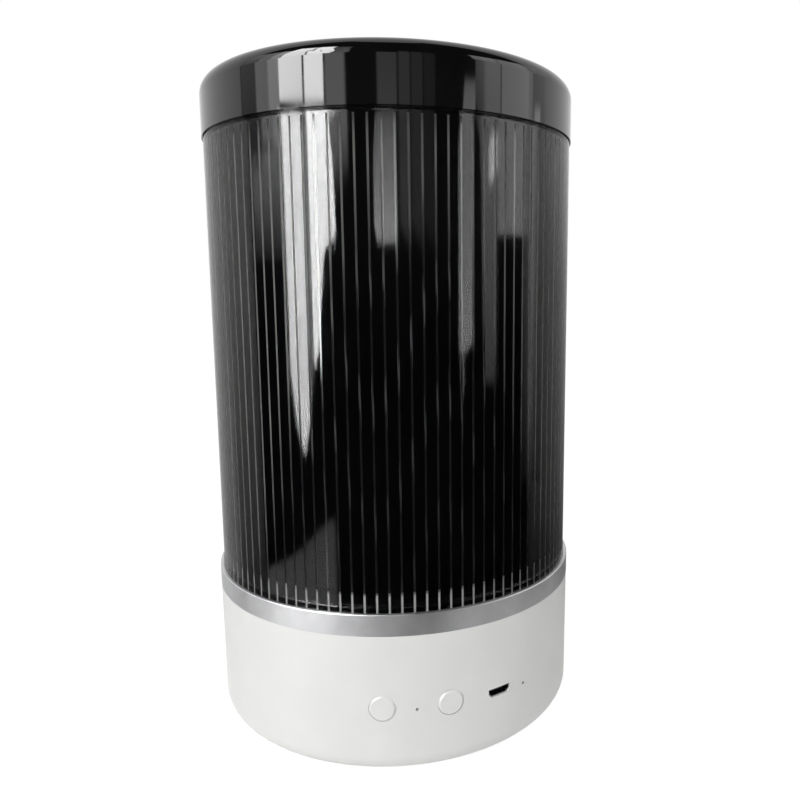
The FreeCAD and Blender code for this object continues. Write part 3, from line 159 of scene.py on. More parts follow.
def plated(name, dark, light, dull, sharp, cloud_size):
    """Metal with a cloudy plating or skin: two near shades and a roughness that follows them."""
    made, tree = new_finish(name)
    cloud = spots(tree, cloud_size, 4.0).outputs["Fac"]
    close(tree, add(tree, "ShaderNodeBsdfPrincipled", {
        "Base Color": shades(tree, cloud, dark, light),
        "Metallic": 1.0,
        "Roughness": between(tree, cloud, dull, sharp),
        "Normal": rough_skin(tree, PLATING_GRAIN, PLATING_DEPTH)}).outputs[0])
    return made


zinc = plated("zinc_plated_steel", "A9AAA8", "CBCCC9", 0.36, 0.24, 1.6)
give(zinc, "zinc_steel", "floor_screws", "deck_screws", "board_screws", "motor_screws",
     "light_post", "post_nuts", "snap_ring")


# ---- Trim ring -----------------------------------------------------------------------------------
# A turned aluminium ring, bead blasted and clear anodised. Blasting leaves a fine, even satin that
# spreads every reflection, with a bright line where its top edge is rounded.

BLAST_SIZE = 0.35  # the blasted grain is finer; this is the finest that shows
BLAST_DEPTH = 0.0022
ring_metal, ring_tree = new_finish("blasted_anodised_aluminium")
ring_cloud = spots(ring_tree, 6.0, 3.0).outputs["Fac"]
close(ring_tree, add(ring_tree, "ShaderNodeBsdfPrincipled", {
    "Base Color": shades(ring_tree, ring_cloud, "C6C6C8", "D0D0D1"),
    "Metallic": 1.0,
    "Roughness": between(ring_tree, ring_cloud, 0.36, 0.42),
    "Normal": rough_skin(ring_tree, BLAST_SIZE, BLAST_DEPTH)}).outputs[0])
give(ring_metal, "satin_silver", "trim_ring")


# ---- Top cap -------------------------------------------------------------------------------------
# A black ABS cap moulded in a mirror-polished tool and pressed into the tube. The polish gives
# sharp reflections; handling leaves a faint haze and the moulding a very slow waviness.

CAP_WAVE_LENGTH = 22.0
CAP_WAVE_HEIGHT = 0.02
cap_gloss, cap_tree = new_finish("polished_black_abs")
cap_wave = add(cap_tree, "ShaderNodeBump", {
    "Height": spots(cap_tree, CAP_WAVE_LENGTH, 0.0).outputs["Fac"],
    "Distance": CAP_WAVE_HEIGHT * MM})
close(cap_tree, add(cap_tree, "ShaderNodeBsdfPrincipled", {
    "Base Color": shades(cap_tree, spots(cap_tree, 9.0).outputs["Fac"], "060607", "0B0B0C"),
    "Roughness": between(cap_tree, spots(cap_tree, 7.0, 4.0).outputs["Fac"], 0.03, 0.07),
    "Normal": cap_wave.outputs["Normal"],
    "IOR": 1.5}).outputs[0])
give(cap_gloss, "black_gloss", "top_cap")


# ---- Outer cover ---------------------------------------------------------------------------------
# A tube of clear acrylic, extruded, cut to length and polished, with a slightly proud band where it
# stands in the ring. The film lies wet against its bore and follows it so closely that the two give
# one reflection; the film's print carries nearly all of it, and the wall the small rest.

def rounded(corners, steps=5):
    """Round a closed outline of (radius, height, rounding) corners, taken anticlockwise.

    Each corner becomes an arc tangent to both of its sides: its centre lies one rounding inside
    (or, in a hollow corner, outside) the side, and its points are that centre plus the rounding
    times the outward direction, which swings from one side's to the next side's.
    """
    corner, rounding = np.array(corners, float)[:, :2], np.array(corners, float)[:, 2]
    side = np.roll(corner, -1, axis=0) - corner
    heading = np.arctan2(side[:, 1], side[:, 0])
    before = np.roll(heading, 1)
    turn = (heading - before + np.pi) % (2 * np.pi) - np.pi
    reach = rounding * np.tan(np.abs(turn) / 2)
    start = corner - reach[:, None] * np.stack([np.cos(before), np.sin(before)], axis=-1)
    facing = before - np.pi / 2
    bend = np.sign(turn) * rounding
    centre = start - bend[:, None] * np.stack([np.cos(facing), np.sin(facing)], axis=-1)
    way = facing[:, None] + turn[:, None] * np.linspace(0, 1, steps + 1)
    outward = np.stack([np.cos(way), np.sin(way)], axis=-1)
    points = centre[:, None] + bend[:, None, None] * outward
    return points.reshape(-1, 2), outward.reshape(-1, 2)


def skin(name, points, outward, finish, slot, body, replaced):
    """A closed skin over a grid of points, in metres, that wraps both ways, with its directions."""
    rows, columns = points.shape[:2]
    number = np.arange(rows * columns).reshape(rows, columns)
    after, beside = np.roll(number, -1, axis=0), np.roll(number, -1, axis=1)
    across = np.roll(after, -1, axis=1)
    faces = np.stack([number, after, across, beside], axis=-1).reshape(-1, 4)
    mesh = bpy.data.meshes.new(name)
    mesh.from_pydata(points.reshape(-1, 3), [], faces.tolist())
    mesh.polygons.foreach_set("use_smooth", np.ones(len(faces), bool))
    mesh.normals_split_custom_set_from_vertices(outward.reshape(-1, 3).tolist())
    return settle(mesh, finish, body, replaced)


def settle(mesh, finish, body, replaced):
    """Make a mesh a piece of the lamp: its material, its body and the nodes it stands for."""
    mesh.materials.append(finish)
    made = bpy.data.objects.new(mesh.name, mesh)
    bpy.context.scene.collection.objects.link(made)
    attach(made, body)
    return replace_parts(made, *replaced)


def lathe(outline, outward, turns=360):
    """Carry an outline round the lamp's axis: radius times cos and sin of the angle, and height."""
    angle = np.linspace(0, 2 * np.pi, turns, endpoint=False)[:, None]
    round_axis = [np.stack([flat[:, 0] * np.cos(angle), flat[:, 0] * np.sin(angle),
                            flat[:, 1] + 0 * angle], axis=-1) for flat in (outline, outward)]
    return round_axis[0] * MM, round_axis[1]


def reckon(tree, operation, *numbers):
    """One step of sums on numbers or sockets."""
    return add(tree, "ShaderNodeMath", {
        "operation": operation, **dict(enumerate(numbers))}).outputs[0]


COVER_RADIUS = 57.0
COVER_WALL = 1.5
BAND = 0.12  # how far the band stands out
BAND_HEIGHT = 4.5
FOOT_ROUNDING = 0.15
BAND_ROUNDING = 0.06
BAND_HOLLOW = 0.03  # where the band's top meets the tube
TOP_ROUNDING = 0.2
WALL_INDEX = 1.15  # acrylic's own 1.49, less the share of its gloss that the print carries
cover_low, cover_high = (corner.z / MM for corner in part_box("outer_cover"))
cover_outline = [
    (COVER_RADIUS - COVER_WALL, cover_low, FOOT_ROUNDING),
    (COVER_RADIUS + BAND, cover_low, FOOT_ROUNDING),
    (COVER_RADIUS + BAND, cover_low + BAND_HEIGHT, BAND_ROUNDING),
    (COVER_RADIUS, cover_low + BAND_HEIGHT, BAND_HOLLOW),
    (COVER_RADIUS, cover_high, TOP_ROUNDING),
    (COVER_RADIUS - COVER_WALL, cover_high, TOP_ROUNDING),
]

WHITE = linear("FFFFFF")
clear, clear_tree = new_finish("clear_extruded_acrylic")
acrylic = add(clear_tree, "ShaderNodeBsdfGlass", {
    "Color": WHITE,
    "Roughness": between(clear_tree, spots(clear_tree, 12.0, 3.0).outputs["Fac"], 0.0, 0.02),
    "IOR": WALL_INDEX})
light_path = add(clear_tree, "ShaderNodeLightPath", {})
lets_by = reckon(clear_tree, "MAXIMUM",
                 light_path.outputs["Is Shadow Ray"], light_path.outputs["Is Diffuse Ray"])
close(clear_tree, add(clear_tree, "ShaderNodeMixShader", {
    0: lets_by,
    1: acrylic.outputs[0],
    2: add(clear_tree, "ShaderNodeBsdfTransparent", {}).outputs[0]}).outputs[0])

# The film lies wet against the bore, so light passes from one to the other without bending.
BORE_REACH = 0.01  # a face of the cover this close to its bore is wetted
wetted, wetted_tree = new_finish("acrylic_wetted_by_film")
close(wetted_tree, add(wetted_tree, "ShaderNodeBsdfTransparent", {}).outputs[0])
cover = skin("cover_tube", *lathe(*rounded(cover_outline)), clear, "clear_cover", "case",
             ["outer_cover"])
cover.data.materials.append(wetted)
cover_spot = np.empty(len(cover.data.polygons) * 3, np.float32)
cover.data.polygons.foreach_get("center", cover_spot)
from_axis = np.hypot(*cover_spot.reshape(-1, 3)[:, :2].T) / MM
cover.data.polygons.foreach_set(
    "material_index", (from_axis < COVER_RADIUS - COVER_WALL + BORE_REACH).astype(np.int32))


# ---- Slit film -----------------------------------------------------------------------------------
# A sheet of clear film printed solid black but for about a hundred fine vertical slits, and rolled
# inside the cover. The print is smooth and nearly black; only the slits let the sleeve behind it be
# seen.

FILM_RADIUS = 55.4
FILM_THICKNESS = 0.06  # the print alone, on the outer face of its clear sheet
SLIT_COUNT = 102  # as in the CAD
SLIT_WIDTH = 0.6
FILM_RIM = 0.4  # black below the slits
FILM_TOP_RIM = 1.1  # and above them, as far as the sleeve behind them reaches
BAR_STEPS = 4  # columns that follow the curve of each black bar
FILM_FOOT = 7.0  # up to here the print lets light by, so that the white collar behind it is lit


def slit_tube(name, bore, thickness, low, high):
    """A tube with straight slits, first slit at the front, as one closed mesh.

    Columns lie at the two sides of each slit and along the bar after it; rows lie at the tube's
    ends and at the slits' ends. A cell is solid unless it is a slit's column in the middle row.
    Solid cells get an outer and an inner face, and every border between solid and open gets a wall.
    """
    half = SLIT_WIDTH / (2 * bore + 2 * thickness)
    pitch = 2 * np.pi / SLIT_COUNT
    in_pitch = np.concatenate([[-half], np.linspace(half, pitch - half, BAR_STEPS + 1)[:-1]])
    angle = (np.arange(SLIT_COUNT)[:, None] * pitch + in_pitch - np.pi / 2).ravel()
    height = np.array([low, low + FILM_RIM, high - FILM_TOP_RIM, high])
    columns, rows = len(angle), len(height)
    layer = np.array([bore + thickness, bore])
    points = np.stack(np.broadcast_arrays(
        layer[:, None, None] * np.cos(angle[:, None]),
        layer[:, None, None] * np.sin(angle[:, None]),
        height), axis=-1)
    number = np.arange(2 * columns * rows).reshape(2, columns, rows)
    solid = np.ones((columns, rows + 1), bool)
    solid[:, [0, -1]] = False
    solid[:: BAR_STEPS + 1, 2] = False
    here, there = number, np.roll(number, -1, axis=1)
    outer = np.stack([here[0, :, :-1], there[0, :, :-1], there[0, :, 1:], here[0, :, 1:]], axis=-1)
    inner = np.stack([here[1, :, 1:], there[1, :, 1:], there[1, :, :-1], here[1, :, :-1]], axis=-1)
    keep = solid[:, 1:-1]
    faces = [outer[keep], inner[keep]]
    level = np.stack([here[0], there[0], there[1], here[1]], axis=-1)
    faces.append(level[solid[:, :-1] & ~solid[:, 1:]])
    faces.append(level[~solid[:, :-1] & solid[:, 1:]][:, ::-1])
    upright = np.stack(
        [number[0, :, :-1], number[0, :, 1:], number[1, :, 1:], number[1, :, :-1]], axis=-1)
    earlier = np.roll(keep, 1, axis=0)
    faces.append(upright[earlier & ~keep][:, ::-1])
    faces.append(upright[~earlier & keep])
    mesh = bpy.data.meshes.new(name)
    mesh.from_pydata(points.reshape(-1, 3) * MM, [], np.concatenate(faces).tolist())
    return mesh


def film_coordinates(mesh, low, high):
    """Lay a UV map on an upright tube: U once round from the back, V from its foot to its top."""
    place = np.empty(len(mesh.vertices) * 3, np.float32)
    mesh.vertices.foreach_get("co", place)
    corner = np.empty(len(mesh.loops), np.int32)
    mesh.loops.foreach_get("vertex_index", corner)
    at = place.reshape(-1, 3)[corner]
    around = (np.arctan2(at[:, 1], at[:, 0]) - np.pi / 2) / (2 * np.pi) % 1
    first = np.empty(len(mesh.polygons), np.int32)
    mesh.polygons.foreach_get("loop_start", first)
    reference = np.repeat(around[first], np.diff(np.append(first, len(corner))))
    around = around - np.round(around - reference)
    layer = mesh.uv_layers.new(name="film")
    layer.uv.foreach_set("vector", np.stack(
        [around, (at[:, 2] / MM - low) / (high - low)], axis=-1).astype(np.float32).ravel())


NEARLY_ROUND = 0.9  # the cosine of about 26 degrees
FACE_CORNERS = 4


def round_directions(mesh):
    """The direction of every corner: straight out from (or in to) the axis on the round faces.

    A face is round if its own direction is within about 26 degrees of straight out or in; the
    others, at the ends and in the slits, keep the direction of their face.
    """
    place = np.empty(len(mesh.vertices) * 3, np.float32)
    mesh.vertices.foreach_get("co", place)
    corner = np.empty(len(mesh.loops), np.int32)
    mesh.loops.foreach_get("vertex_index", corner)
    facing = np.empty(len(mesh.polygons) * 3, np.float32)
    mesh.polygons.foreach_get("normal", facing)
    facing = np.repeat(facing.reshape(-1, 3), FACE_CORNERS, axis=0)
    outward = place.reshape(-1, 3)[corner] * (1, 1, 0)
    outward /= np.linalg.norm(outward, axis=1, keepdims=True)
    along = (facing * outward).sum(axis=1, keepdims=True)
    return np.where(np.abs(along) > NEARLY_ROUND, np.sign(along) * outward, facing).tolist()


film_low, film_high = (corner.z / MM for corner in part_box("slit_film"))
film_mesh = slit_tube(
    "film_tube", FILM_RADIUS - FILM_THICKNESS, FILM_THICKNESS, film_low, film_high)
film_mesh.polygons.foreach_set("use_smooth", np.ones(len(film_mesh.polygons), bool))
film_mesh.normals_split_custom_set(round_directions(film_mesh))
film_coordinates(film_mesh, film_low, film_high)

film_black, film_tree = new_finish("black_printed_film")
film_place = add(film_tree, "ShaderNodeSeparateXYZ", {
    0: add(film_tree, "ShaderNodeUVMap", {"uv_map": "film"}).outputs[0]})
film_print = add(film_tree, "ShaderNodeBsdfPrincipled", {
    "Base Color": shades(film_tree, spots(film_tree, 14.0, 3.0).outputs["Fac"], "020203", "040405"),
    "Roughness": between(film_tree, spots(film_tree, 5.0).outputs["Fac"], 0.03, 0.06),
    "IOR": 1.49})
film_path = add(film_tree, "ShaderNodeLightPath", {})
past_foot = reckon(film_tree, "MULTIPLY", film_path.outputs["Is Shadow Ray"], reckon(
    film_tree, "LESS_THAN", film_place.outputs[1], FILM_FOOT / (film_high - film_low)))
close(film_tree, add(film_tree, "ShaderNodeMixShader", {
    0: past_foot,
    1: film_print.outputs[0],
    2: add(film_tree, "ShaderNodeBsdfTransparent", {}).outputs[0]}).outputs[0])
settle(film_mesh, film_black, "case", ["slit_film"])


# ---- Image sleeve --------------------------------------------------------------------------------
# A tube of white translucent film that turns behind the slits. Its print is cut into narrow upright
# strips, six to each slit, and each strip shows the next moment of one picture: short light waves
# that fade towards the foot. Painted shade and light lie over the print: the film is coloured dark
# at the front and the back of the lamp and pale at its sides, for the shade of the dark room in
# front and the light of the window and the pale wall at the sides; the waves show only in the dark.

SLEEVE_RADIUS = 51.5
SLEEVE_WALL = 0.8
SLEEVE_ROUNDING = 0.1
MOMENTS = 6.0  # strips to each slit, one for each moment of the picture
STRIPS = MOMENTS * SLIT_COUNT
WAVE_COUNT = 4.0  # waves from foot to top
SWELL_COUNT = 7  # times that the waves rise and fall, once round
SWELL_HEIGHT = 0.8  # in waves
WAVES_START = 0.1  # the waves grow from here, as a share of the sleeve's height
WAVES_FULL = 0.6  # to here
WAVES_LEAST = 0.2  # how much of them is left at the foot
# Painted shade and light on the sleeve: dark zones once round, where their top edge lies, and how
# softly it fades to pale.
SHADE_ZONE_COUNT = 2
SHADE_EDGE_MIDDLE = 0.2  # the painted shade's top edge, as a share of the sleeve's height: this, give or take the next
SHADE_EDGE_SWING = 0.62
LIGHT_FADE_BELOW = 0.15  # the painted light fades in from this far below that edge
LIGHT_FADE_ABOVE = 0.25  # to this far above it
SHEET_INDEX = 1.85  # polyester's 1.6, raised by the gloss of the clear slits in front of it
sleeve_low, sleeve_high = (corner.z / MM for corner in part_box("image_sleeve"))
sleeve_outline = [
    (SLEEVE_RADIUS - SLEEVE_WALL, sleeve_low, SLEEVE_ROUNDING),
    (SLEEVE_RADIUS, sleeve_low, SLEEVE_ROUNDING),
    (SLEEVE_RADIUS, sleeve_high, SLEEVE_ROUNDING),
    (SLEEVE_RADIUS - SLEEVE_WALL, sleeve_high, SLEEVE_ROUNDING),
]

sleeve_print_and_shade, sleeve_tree = new_finish("translucent_film_print_and_painted_shade")
sheet_place = add(sleeve_tree, "ShaderNodeSeparateXYZ", {
    0: add(sleeve_tree, "ShaderNodeUVMap", {"uv_map": "film"}).outputs[0]})

once_round, up_sleeve = sheet_place.outputs[0], sheet_place.outputs[1]
strip = reckon(sleeve_tree, "FLOOR", reckon(sleeve_tree, "MULTIPLY", once_round, STRIPS))
moment = reckon(sleeve_tree, "DIVIDE", reckon(sleeve_tree, "MODULO", strip, MOMENTS), MOMENTS)
swell = reckon(sleeve_tree, "MULTIPLY", reckon(sleeve_tree, "SINE", reckon(
    sleeve_tree, "MULTIPLY", once_round, 2 * math.pi * SWELL_COUNT)), SWELL_HEIGHT)
rise = reckon(sleeve_tree, "MULTIPLY", up_sleeve, WAVE_COUNT)
phase = reckon(sleeve_tree, "ADD", reckon(sleeve_tree, "ADD", rise, swell), moment)
crest = reckon(sleeve_tree, "SINE", reckon(sleeve_tree, "MULTIPLY", phase, 2 * math.pi))
band = add(sleeve_tree, "ShaderNodeMapRange", {"Value": crest, "From Min": 0.5, "From Max": 1.0})
near_top = add(sleeve_tree, "ShaderNodeMapRange", {
    "Value": up_sleeve, "From Min": WAVES_START, "From Max": WAVES_FULL, "To Min": WAVES_LEAST})
glint = reckon(sleeve_tree, "MULTIPLY", band.outputs[0], near_top.outputs[0])
# Painted shade: the sleeve is dark up to an edge that stands high at the front and the back, and
# below the foot at the sides.
shade_edge_shift = reckon(sleeve_tree, "MULTIPLY", reckon(sleeve_tree, "COSINE", reckon(
    sleeve_tree, "MULTIPLY", once_round, 2 * math.pi * SHADE_ZONE_COUNT)), SHADE_EDGE_SWING)
painted_light_share = add(sleeve_tree, "ShaderNodeMapRange", {
    "interpolation_type": "SMOOTHSTEP",
    "Value": reckon(sleeve_tree, "SUBTRACT", up_sleeve, shade_edge_shift),
    "From Min": SHADE_EDGE_MIDDLE - LIGHT_FADE_BELOW, "From Max": SHADE_EDGE_MIDDLE + LIGHT_FADE_ABOVE})
# Inside the painted shade: dark print with its light waves; outside it: pale painted light.
in_painted_shade = add(sleeve_tree, "ShaderNodeMix", {
    "data_type": "RGBA", 0: glint, 6: linear("484849"), 7: linear("A0A09D")})
print_and_painted_shade = add(sleeve_tree, "ShaderNodeMix", {
    "data_type": "RGBA", 0: painted_light_share.outputs[0], 6: in_painted_shade.outputs[2], 7: linear("DADAD6")})
close(sleeve_tree, add(sleeve_tree, "ShaderNodeBsdfPrincipled", {
    "Base Color": print_and_painted_shade.outputs[2],
    "Roughness": between(sleeve_tree, spots(sleeve_tree, 4.0).outputs["Fac"], 0.06, 0.10),
    "IOR": SHEET_INDEX}).outputs[0])
sleeve = skin("picture_tube", *lathe(*rounded(sleeve_outline, 3)), sleeve_print_and_shade, "printed_sleeve",
              "drum", ["image_sleeve"])
film_coordinates(sleeve.data, sleeve_low, sleeve_high)


# ---- Deck, turntable and top spider --------------------------------------------------------------
# White ABS mouldings inside the lamp: the deck that the light stands on, whose collar shows behind
# the foot of the slits, the turntable with its gear teeth, and the spider that centres the sleeve.

inner_abs = moulded("white_inner_abs", "E4E4E1", "EEEEEB", 0.50, 0.38, 0.8, 0.012)
give(inner_abs, "inner_abs", "deck", "top_spider")
give(inner_abs, "gear_acetal", "turntable")


# ---- Bushes, washer and pinion -------------------------------------------------------------------
# Turned and moulded acetal, a slippery ivory plastic with a waxy sheen.

acetal = moulded("natural_acetal", "E3DFD2", "EFECE2", 0.36, 0.24, 0.4, 0.004, 1.48)
give(acetal, "acetal", "turntable_bush", "top_bush", "thrust_washer", "drive_pinion")


# ---- Light core, light boards and emitters -------------------------------------------------------
# An extruded aluminium bar with a white-masked board on each of its three flats, and on each board
# five square emitters of white resin with a yellow phosphor under a clear dome.

core_metal = plated("extruded_aluminium", "B4B5B7", "CDCED0", 0.42, 0.30, 1.2)
give(core_metal, "core_aluminium", "light_core")
white_mask = moulded("white_solder_mask", "DEDEDA", "EDEDEA", 0.34, 0.22, 0.5, 0.006)
give(white_mask, "white_board", "light_board_1", "light_board_2", "light_board_3")
phosphor = moulded("phosphor_resin", "DDC65A", "F2E7A8", 0.22, 0.12, 0.25, 0.01)
give(phosphor, "emitter", "light_emitters_1", "light_emitters_2", "light_emitters_3")


# ---- Gearmotor -----------------------------------------------------------------------------------
# A small can motor of drawn steel under a folded steel gearbox, with a turned steel shaft.

motor_steel = plated("nickel_plated_steel", "9B9B99", "BDBDBA", 0.34, 0.22, 2.2)
give(motor_steel, "zinc_steel", "motor_gearbox", "motor_can", "motor_shaft")


# ---- Main board and what is soldered to it -------------------------------------------------------
# A green-masked glass-epoxy board whose copper tracks show as paler lines, with black epoxy chips
# and switches, white nylon connectors and a tinned steel inlet.

TRACK_PITCH = 1.9
TRACK_WIDTH = 0.09  # as a share of the pitch
TRACK_LENGTH = 3.2  # between two crossings, in pitches
TRACK_HEIGHT = 0.03
board_mask, board_tree = new_finish("green_solder_mask")
track_place = add(board_tree, "ShaderNodeTexCoord", {})
tracks = add(board_tree, "ShaderNodeTexBrick", {
    "Vector": track_place.outputs["Object"], "Scale": 1 / (TRACK_PITCH * MM),
    "Mortar Size": TRACK_WIDTH, "Mortar Smooth": 0.3,
    "Brick Width": TRACK_LENGTH, "Row Height": 1.0,
    "Color1": linear("1F5A37"), "Color2": linear("23633D"), "Mortar": linear("3C8355")})
close(board_tree, add(board_tree, "ShaderNodeBsdfPrincipled", {
    "Base Color": tracks.outputs["Color"],
    "Roughness": between(board_tree, spots(board_tree, 3.0).outputs["Fac"], 0.22, 0.34),
    "Normal": add(board_tree, "ShaderNodeBump", {
        "Height": tracks.outputs["Fac"],
        "Distance": TRACK_HEIGHT * MM}).outputs["Normal"]}).outputs[0])
give(board_mask, "green_board", "main_board")
epoxy = moulded("black_moulded_epoxy", "1B1B1C", "262627", 0.58, 0.44, 0.3, 0.01)
give(epoxy, "black_resin", "control_chip", "charge_chip", "left_switch", "right_switch",
     "left_plunger", "right_plunger", "usb_tongue")
nylon = moulded("natural_nylon", "DAD7CB", "E8E6DC", 0.5, 0.36, 0.4, 0.006)
give(nylon, "connector_white", "cell_header", "cell_plug", "motor_header", "motor_plug",
     "light_header", "light_plug")
tinned = plated("tinned_steel", "8E8E8F", "B9B9BA", 0.30, 0.18, 0.8)
give(tinned, "inlet_steel", "usb_shell")
drawn_can = plated("drawn_aluminium", "A6A6A7", "C4C4C5", 0.38, 0.26, 0.9)
give(drawn_can, "mic_metal", "microphone")
# Painted shade: the clear pipe is coloured dark grey, because the inside of the base behind its tip
# is dark.
pipe_resin = moulded("clear_light_pipe_painted_shade", "4A4C4E", "5E6062", 0.16, 0.08, 0.8, 0.002)
give(pipe_resin, "clear_pipe", "light_pipe")
lamp_resin = moulded("indicator_resin", "D9CFC6", "E9E2DB", 0.26, 0.16, 0.4, 0.004)
give(lamp_resin, "indicator_resin", "charge_light")


# ---- Rechargeable cell and leads -----------------------------------------------------------------
# A steel cell in blue shrink wrap, and leads in soft red PVC that plug into the board.

wrap = moulded("blue_shrink_wrap", "1F4C86", "2A5D9E", 0.30, 0.18, 2.4, 0.03)
give(wrap, "cell_wrap", "battery_cell")
jacket = moulded("red_soft_pvc", "8E1F1B", "A52A24", 0.42, 0.3, 0.5, 0.01)
give(jacket, "lead_jacket", "cell_lead", "motor_lead", "light_lead")


# ---- Buttons -------------------------------------------------------------------------------------
# Two round ABS keys from the same white as the base, polished a little smoother where they are
# touched.

key_abs = moulded("white_key_abs", "EDEDEB", "F2F2F0", 0.44, 0.36, 0.4, 0.004)
give(key_abs, "white_abs", "left_button", "right_button")


# ---- Studio --------------------------------------------------------------------------------------
# A pale floor in a white room, one large soft lamp from the left front, and panels that only show
# in the lamp's gloss: dark ones in front, a tall bright window at the left and a pale wall at the
# right.

FLOOR_RADIUS = 4.0  # metres
FLOOR_SIDES = 96
FLOOR_GLOW = 0.9  # added to the floor's shading where it is looked at
AMBIENT = 0.52  # the room's light on the lamp; where the room is looked at, it is white


def looked_at(tree):
    """1 for a ray from the camera, off a gloss or through glass, and 0 for any other."""
    path = add(tree, "ShaderNodeLightPath", {})
    return reckon(tree, "MAXIMUM", path.outputs["Is Camera Ray"], reckon(
        tree, "MAXIMUM", path.outputs["Is Glossy Ray"], path.outputs["Is Transmission Ray"]))


floor_paint, floor_tree = new_finish("matt_white_floor_paint")
mottle = spots(floor_tree, 60.0).outputs["Fac"]
shaded = add(floor_tree, "ShaderNodeAddShader", {
    0: add(floor_tree, "ShaderNodeBsdfDiffuse", {
        "Color": shades(floor_tree, mottle, "8A8A8A", "8B8B8B")}).outputs[0],
    1: add(floor_tree, "ShaderNodeEmission", {"Color": WHITE, "Strength": FLOOR_GLOW}).outputs[0]})
close(floor_tree, add(floor_tree, "ShaderNodeMixShader", {
    0: looked_at(floor_tree),
    1: add(floor_tree, "ShaderNodeBsdfDiffuse", {"Color": linear("E8E8E8")}).outputs[0],
    2: shaded.outputs[0]}).outputs[0])
floor_angle = np.linspace(0, 2 * np.pi, FLOOR_SIDES, endpoint=False)
floor_edge = FLOOR_RADIUS * np.stack(
    [np.cos(floor_angle), np.sin(floor_angle), 0 * floor_angle], axis=-1)
floor_mesh = bpy.data.meshes.new("floor")
floor_mesh.from_pydata(floor_edge, [], [list(range(FLOOR_SIDES))])
floor_mesh.materials.append(floor_paint)
floor = bpy.data.objects.new("floor", floor_mesh)
bpy.context.scene.collection.objects.link(floor)
floor.visible_glossy = floor.visible_transmission = False

world = bpy.data.worlds.new("white_room")
bpy.context.scene.world = world
world.use_nodes = True
room_tree = world.node_tree
room_tree.nodes.clear()
room_light = add(room_tree, "ShaderNodeMapRange", {
    "Value": looked_at(room_tree), "To Min": AMBIENT, "To Max": 1.0})
room_white = add(room_tree, "ShaderNodeBackground", {
    "Color": WHITE, "Strength": room_light.outputs[0]})
add(room_tree, "ShaderNodeOutputWorld", {"Surface": room_white.outputs[0]})

PANEL_LEVEL = 121.2  # the height that a panel's elevations are counted from
PANEL_ROWS = 12


def panel(name, distance, knots, low_glow, high_glow, soft=0.0):
    """A curved panel round the lamp that shows only in gloss.

    Knots are (azimuth from the front, lowest and highest elevation), in degrees, from left to
    right; the panel's edges run straight between them. A point lies at the distance, at its
    azimuth, and at the panels' level plus the distance times the tangent of its elevation. Its glow
    goes from low_glow at its foot to high_glow at its top, and fades over the soft share at each
    edge.
    """
    turn, low, high = np.array(knots, float).T
    around = np.linspace(turn[0], turn[-1], 2 + int(turn[-1] - turn[0]))
    share = np.linspace(0, 1, PANEL_ROWS)
    lowest, highest = (np.interp(around, turn, edge)[:, None] for edge in (low, high))
    rise = lowest * (1 - share) + highest * share
    azimuth = np.radians(around)[:, None] + 0 * share
    points = np.stack([distance * np.sin(azimuth), -distance * np.cos(azimuth),
                       PANEL_LEVEL + distance * np.tan(np.radians(rise))], axis=-1) * MM
    number = np.arange(points[..., 0].size).reshape(points.shape[:2])
    faces = np.stack([number[:-1, :-1], number[:-1, 1:], number[1:, 1:], number[1:, :-1]],
                     axis=-1).reshape(-1, 4)
    mesh = bpy.data.meshes.new(name)
    mesh.from_pydata(points.reshape(-1, 3), [], faces.tolist())
    across = np.linspace(0, 1, len(around))[:, None]
    spread = np.stack(np.broadcast_arrays(across, share), axis=-1)
    mesh.uv_layers.new(name="spread").uv.foreach_set(
        "vector", spread.reshape(-1, 2)[faces.ravel()].astype(np.float32).ravel())
    glow, tree = new_finish(name + "_glow")
    at = add(tree, "ShaderNodeSeparateXYZ", {
        0: add(tree, "ShaderNodeUVMap", {"uv_map": "spread"}).outputs[0]})
    strength = add(tree, "ShaderNodeMapRange", {
        "Value": at.outputs[1], "To Min": low_glow, "To Max": high_glow})
    shown = add(tree, "ShaderNodeEmission", {"Color": WHITE, "Strength": strength.outputs[0]})
    if soft:
        fades = [add(tree, "ShaderNodeMapRange", {
            "interpolation_type": "SMOOTHSTEP",
            "Value": reckon(tree, "PINGPONG", at.outputs[axis], 0.5),
            "From Max": soft}).outputs[0] for axis in (0, 1)]
        shown = add(tree, "ShaderNodeMixShader", {
            0: reckon(tree, "MULTIPLY", *fades),
            1: add(tree, "ShaderNodeBsdfTransparent", {}).outputs[0],
            2: shown.outputs[0]})
    close(tree, shown.outputs[0])
    mesh.materials.append(glow)
    made = bpy.data.objects.new(name, mesh)
    bpy.context.scene.collection.objects.link(made)
    made.visible_camera = made.visible_diffuse = made.visible_shadow = False


# How far off the panels stand. Where two overlap, the nearer one is seen.
BACKDROP = 1500
BEHIND = 1340
FAR = 1320
MIDWAY = 1310
NEAR = 1300
NEAREST = 1290
LEFT_END = -97  # azimuth at which the table and the dark front begin

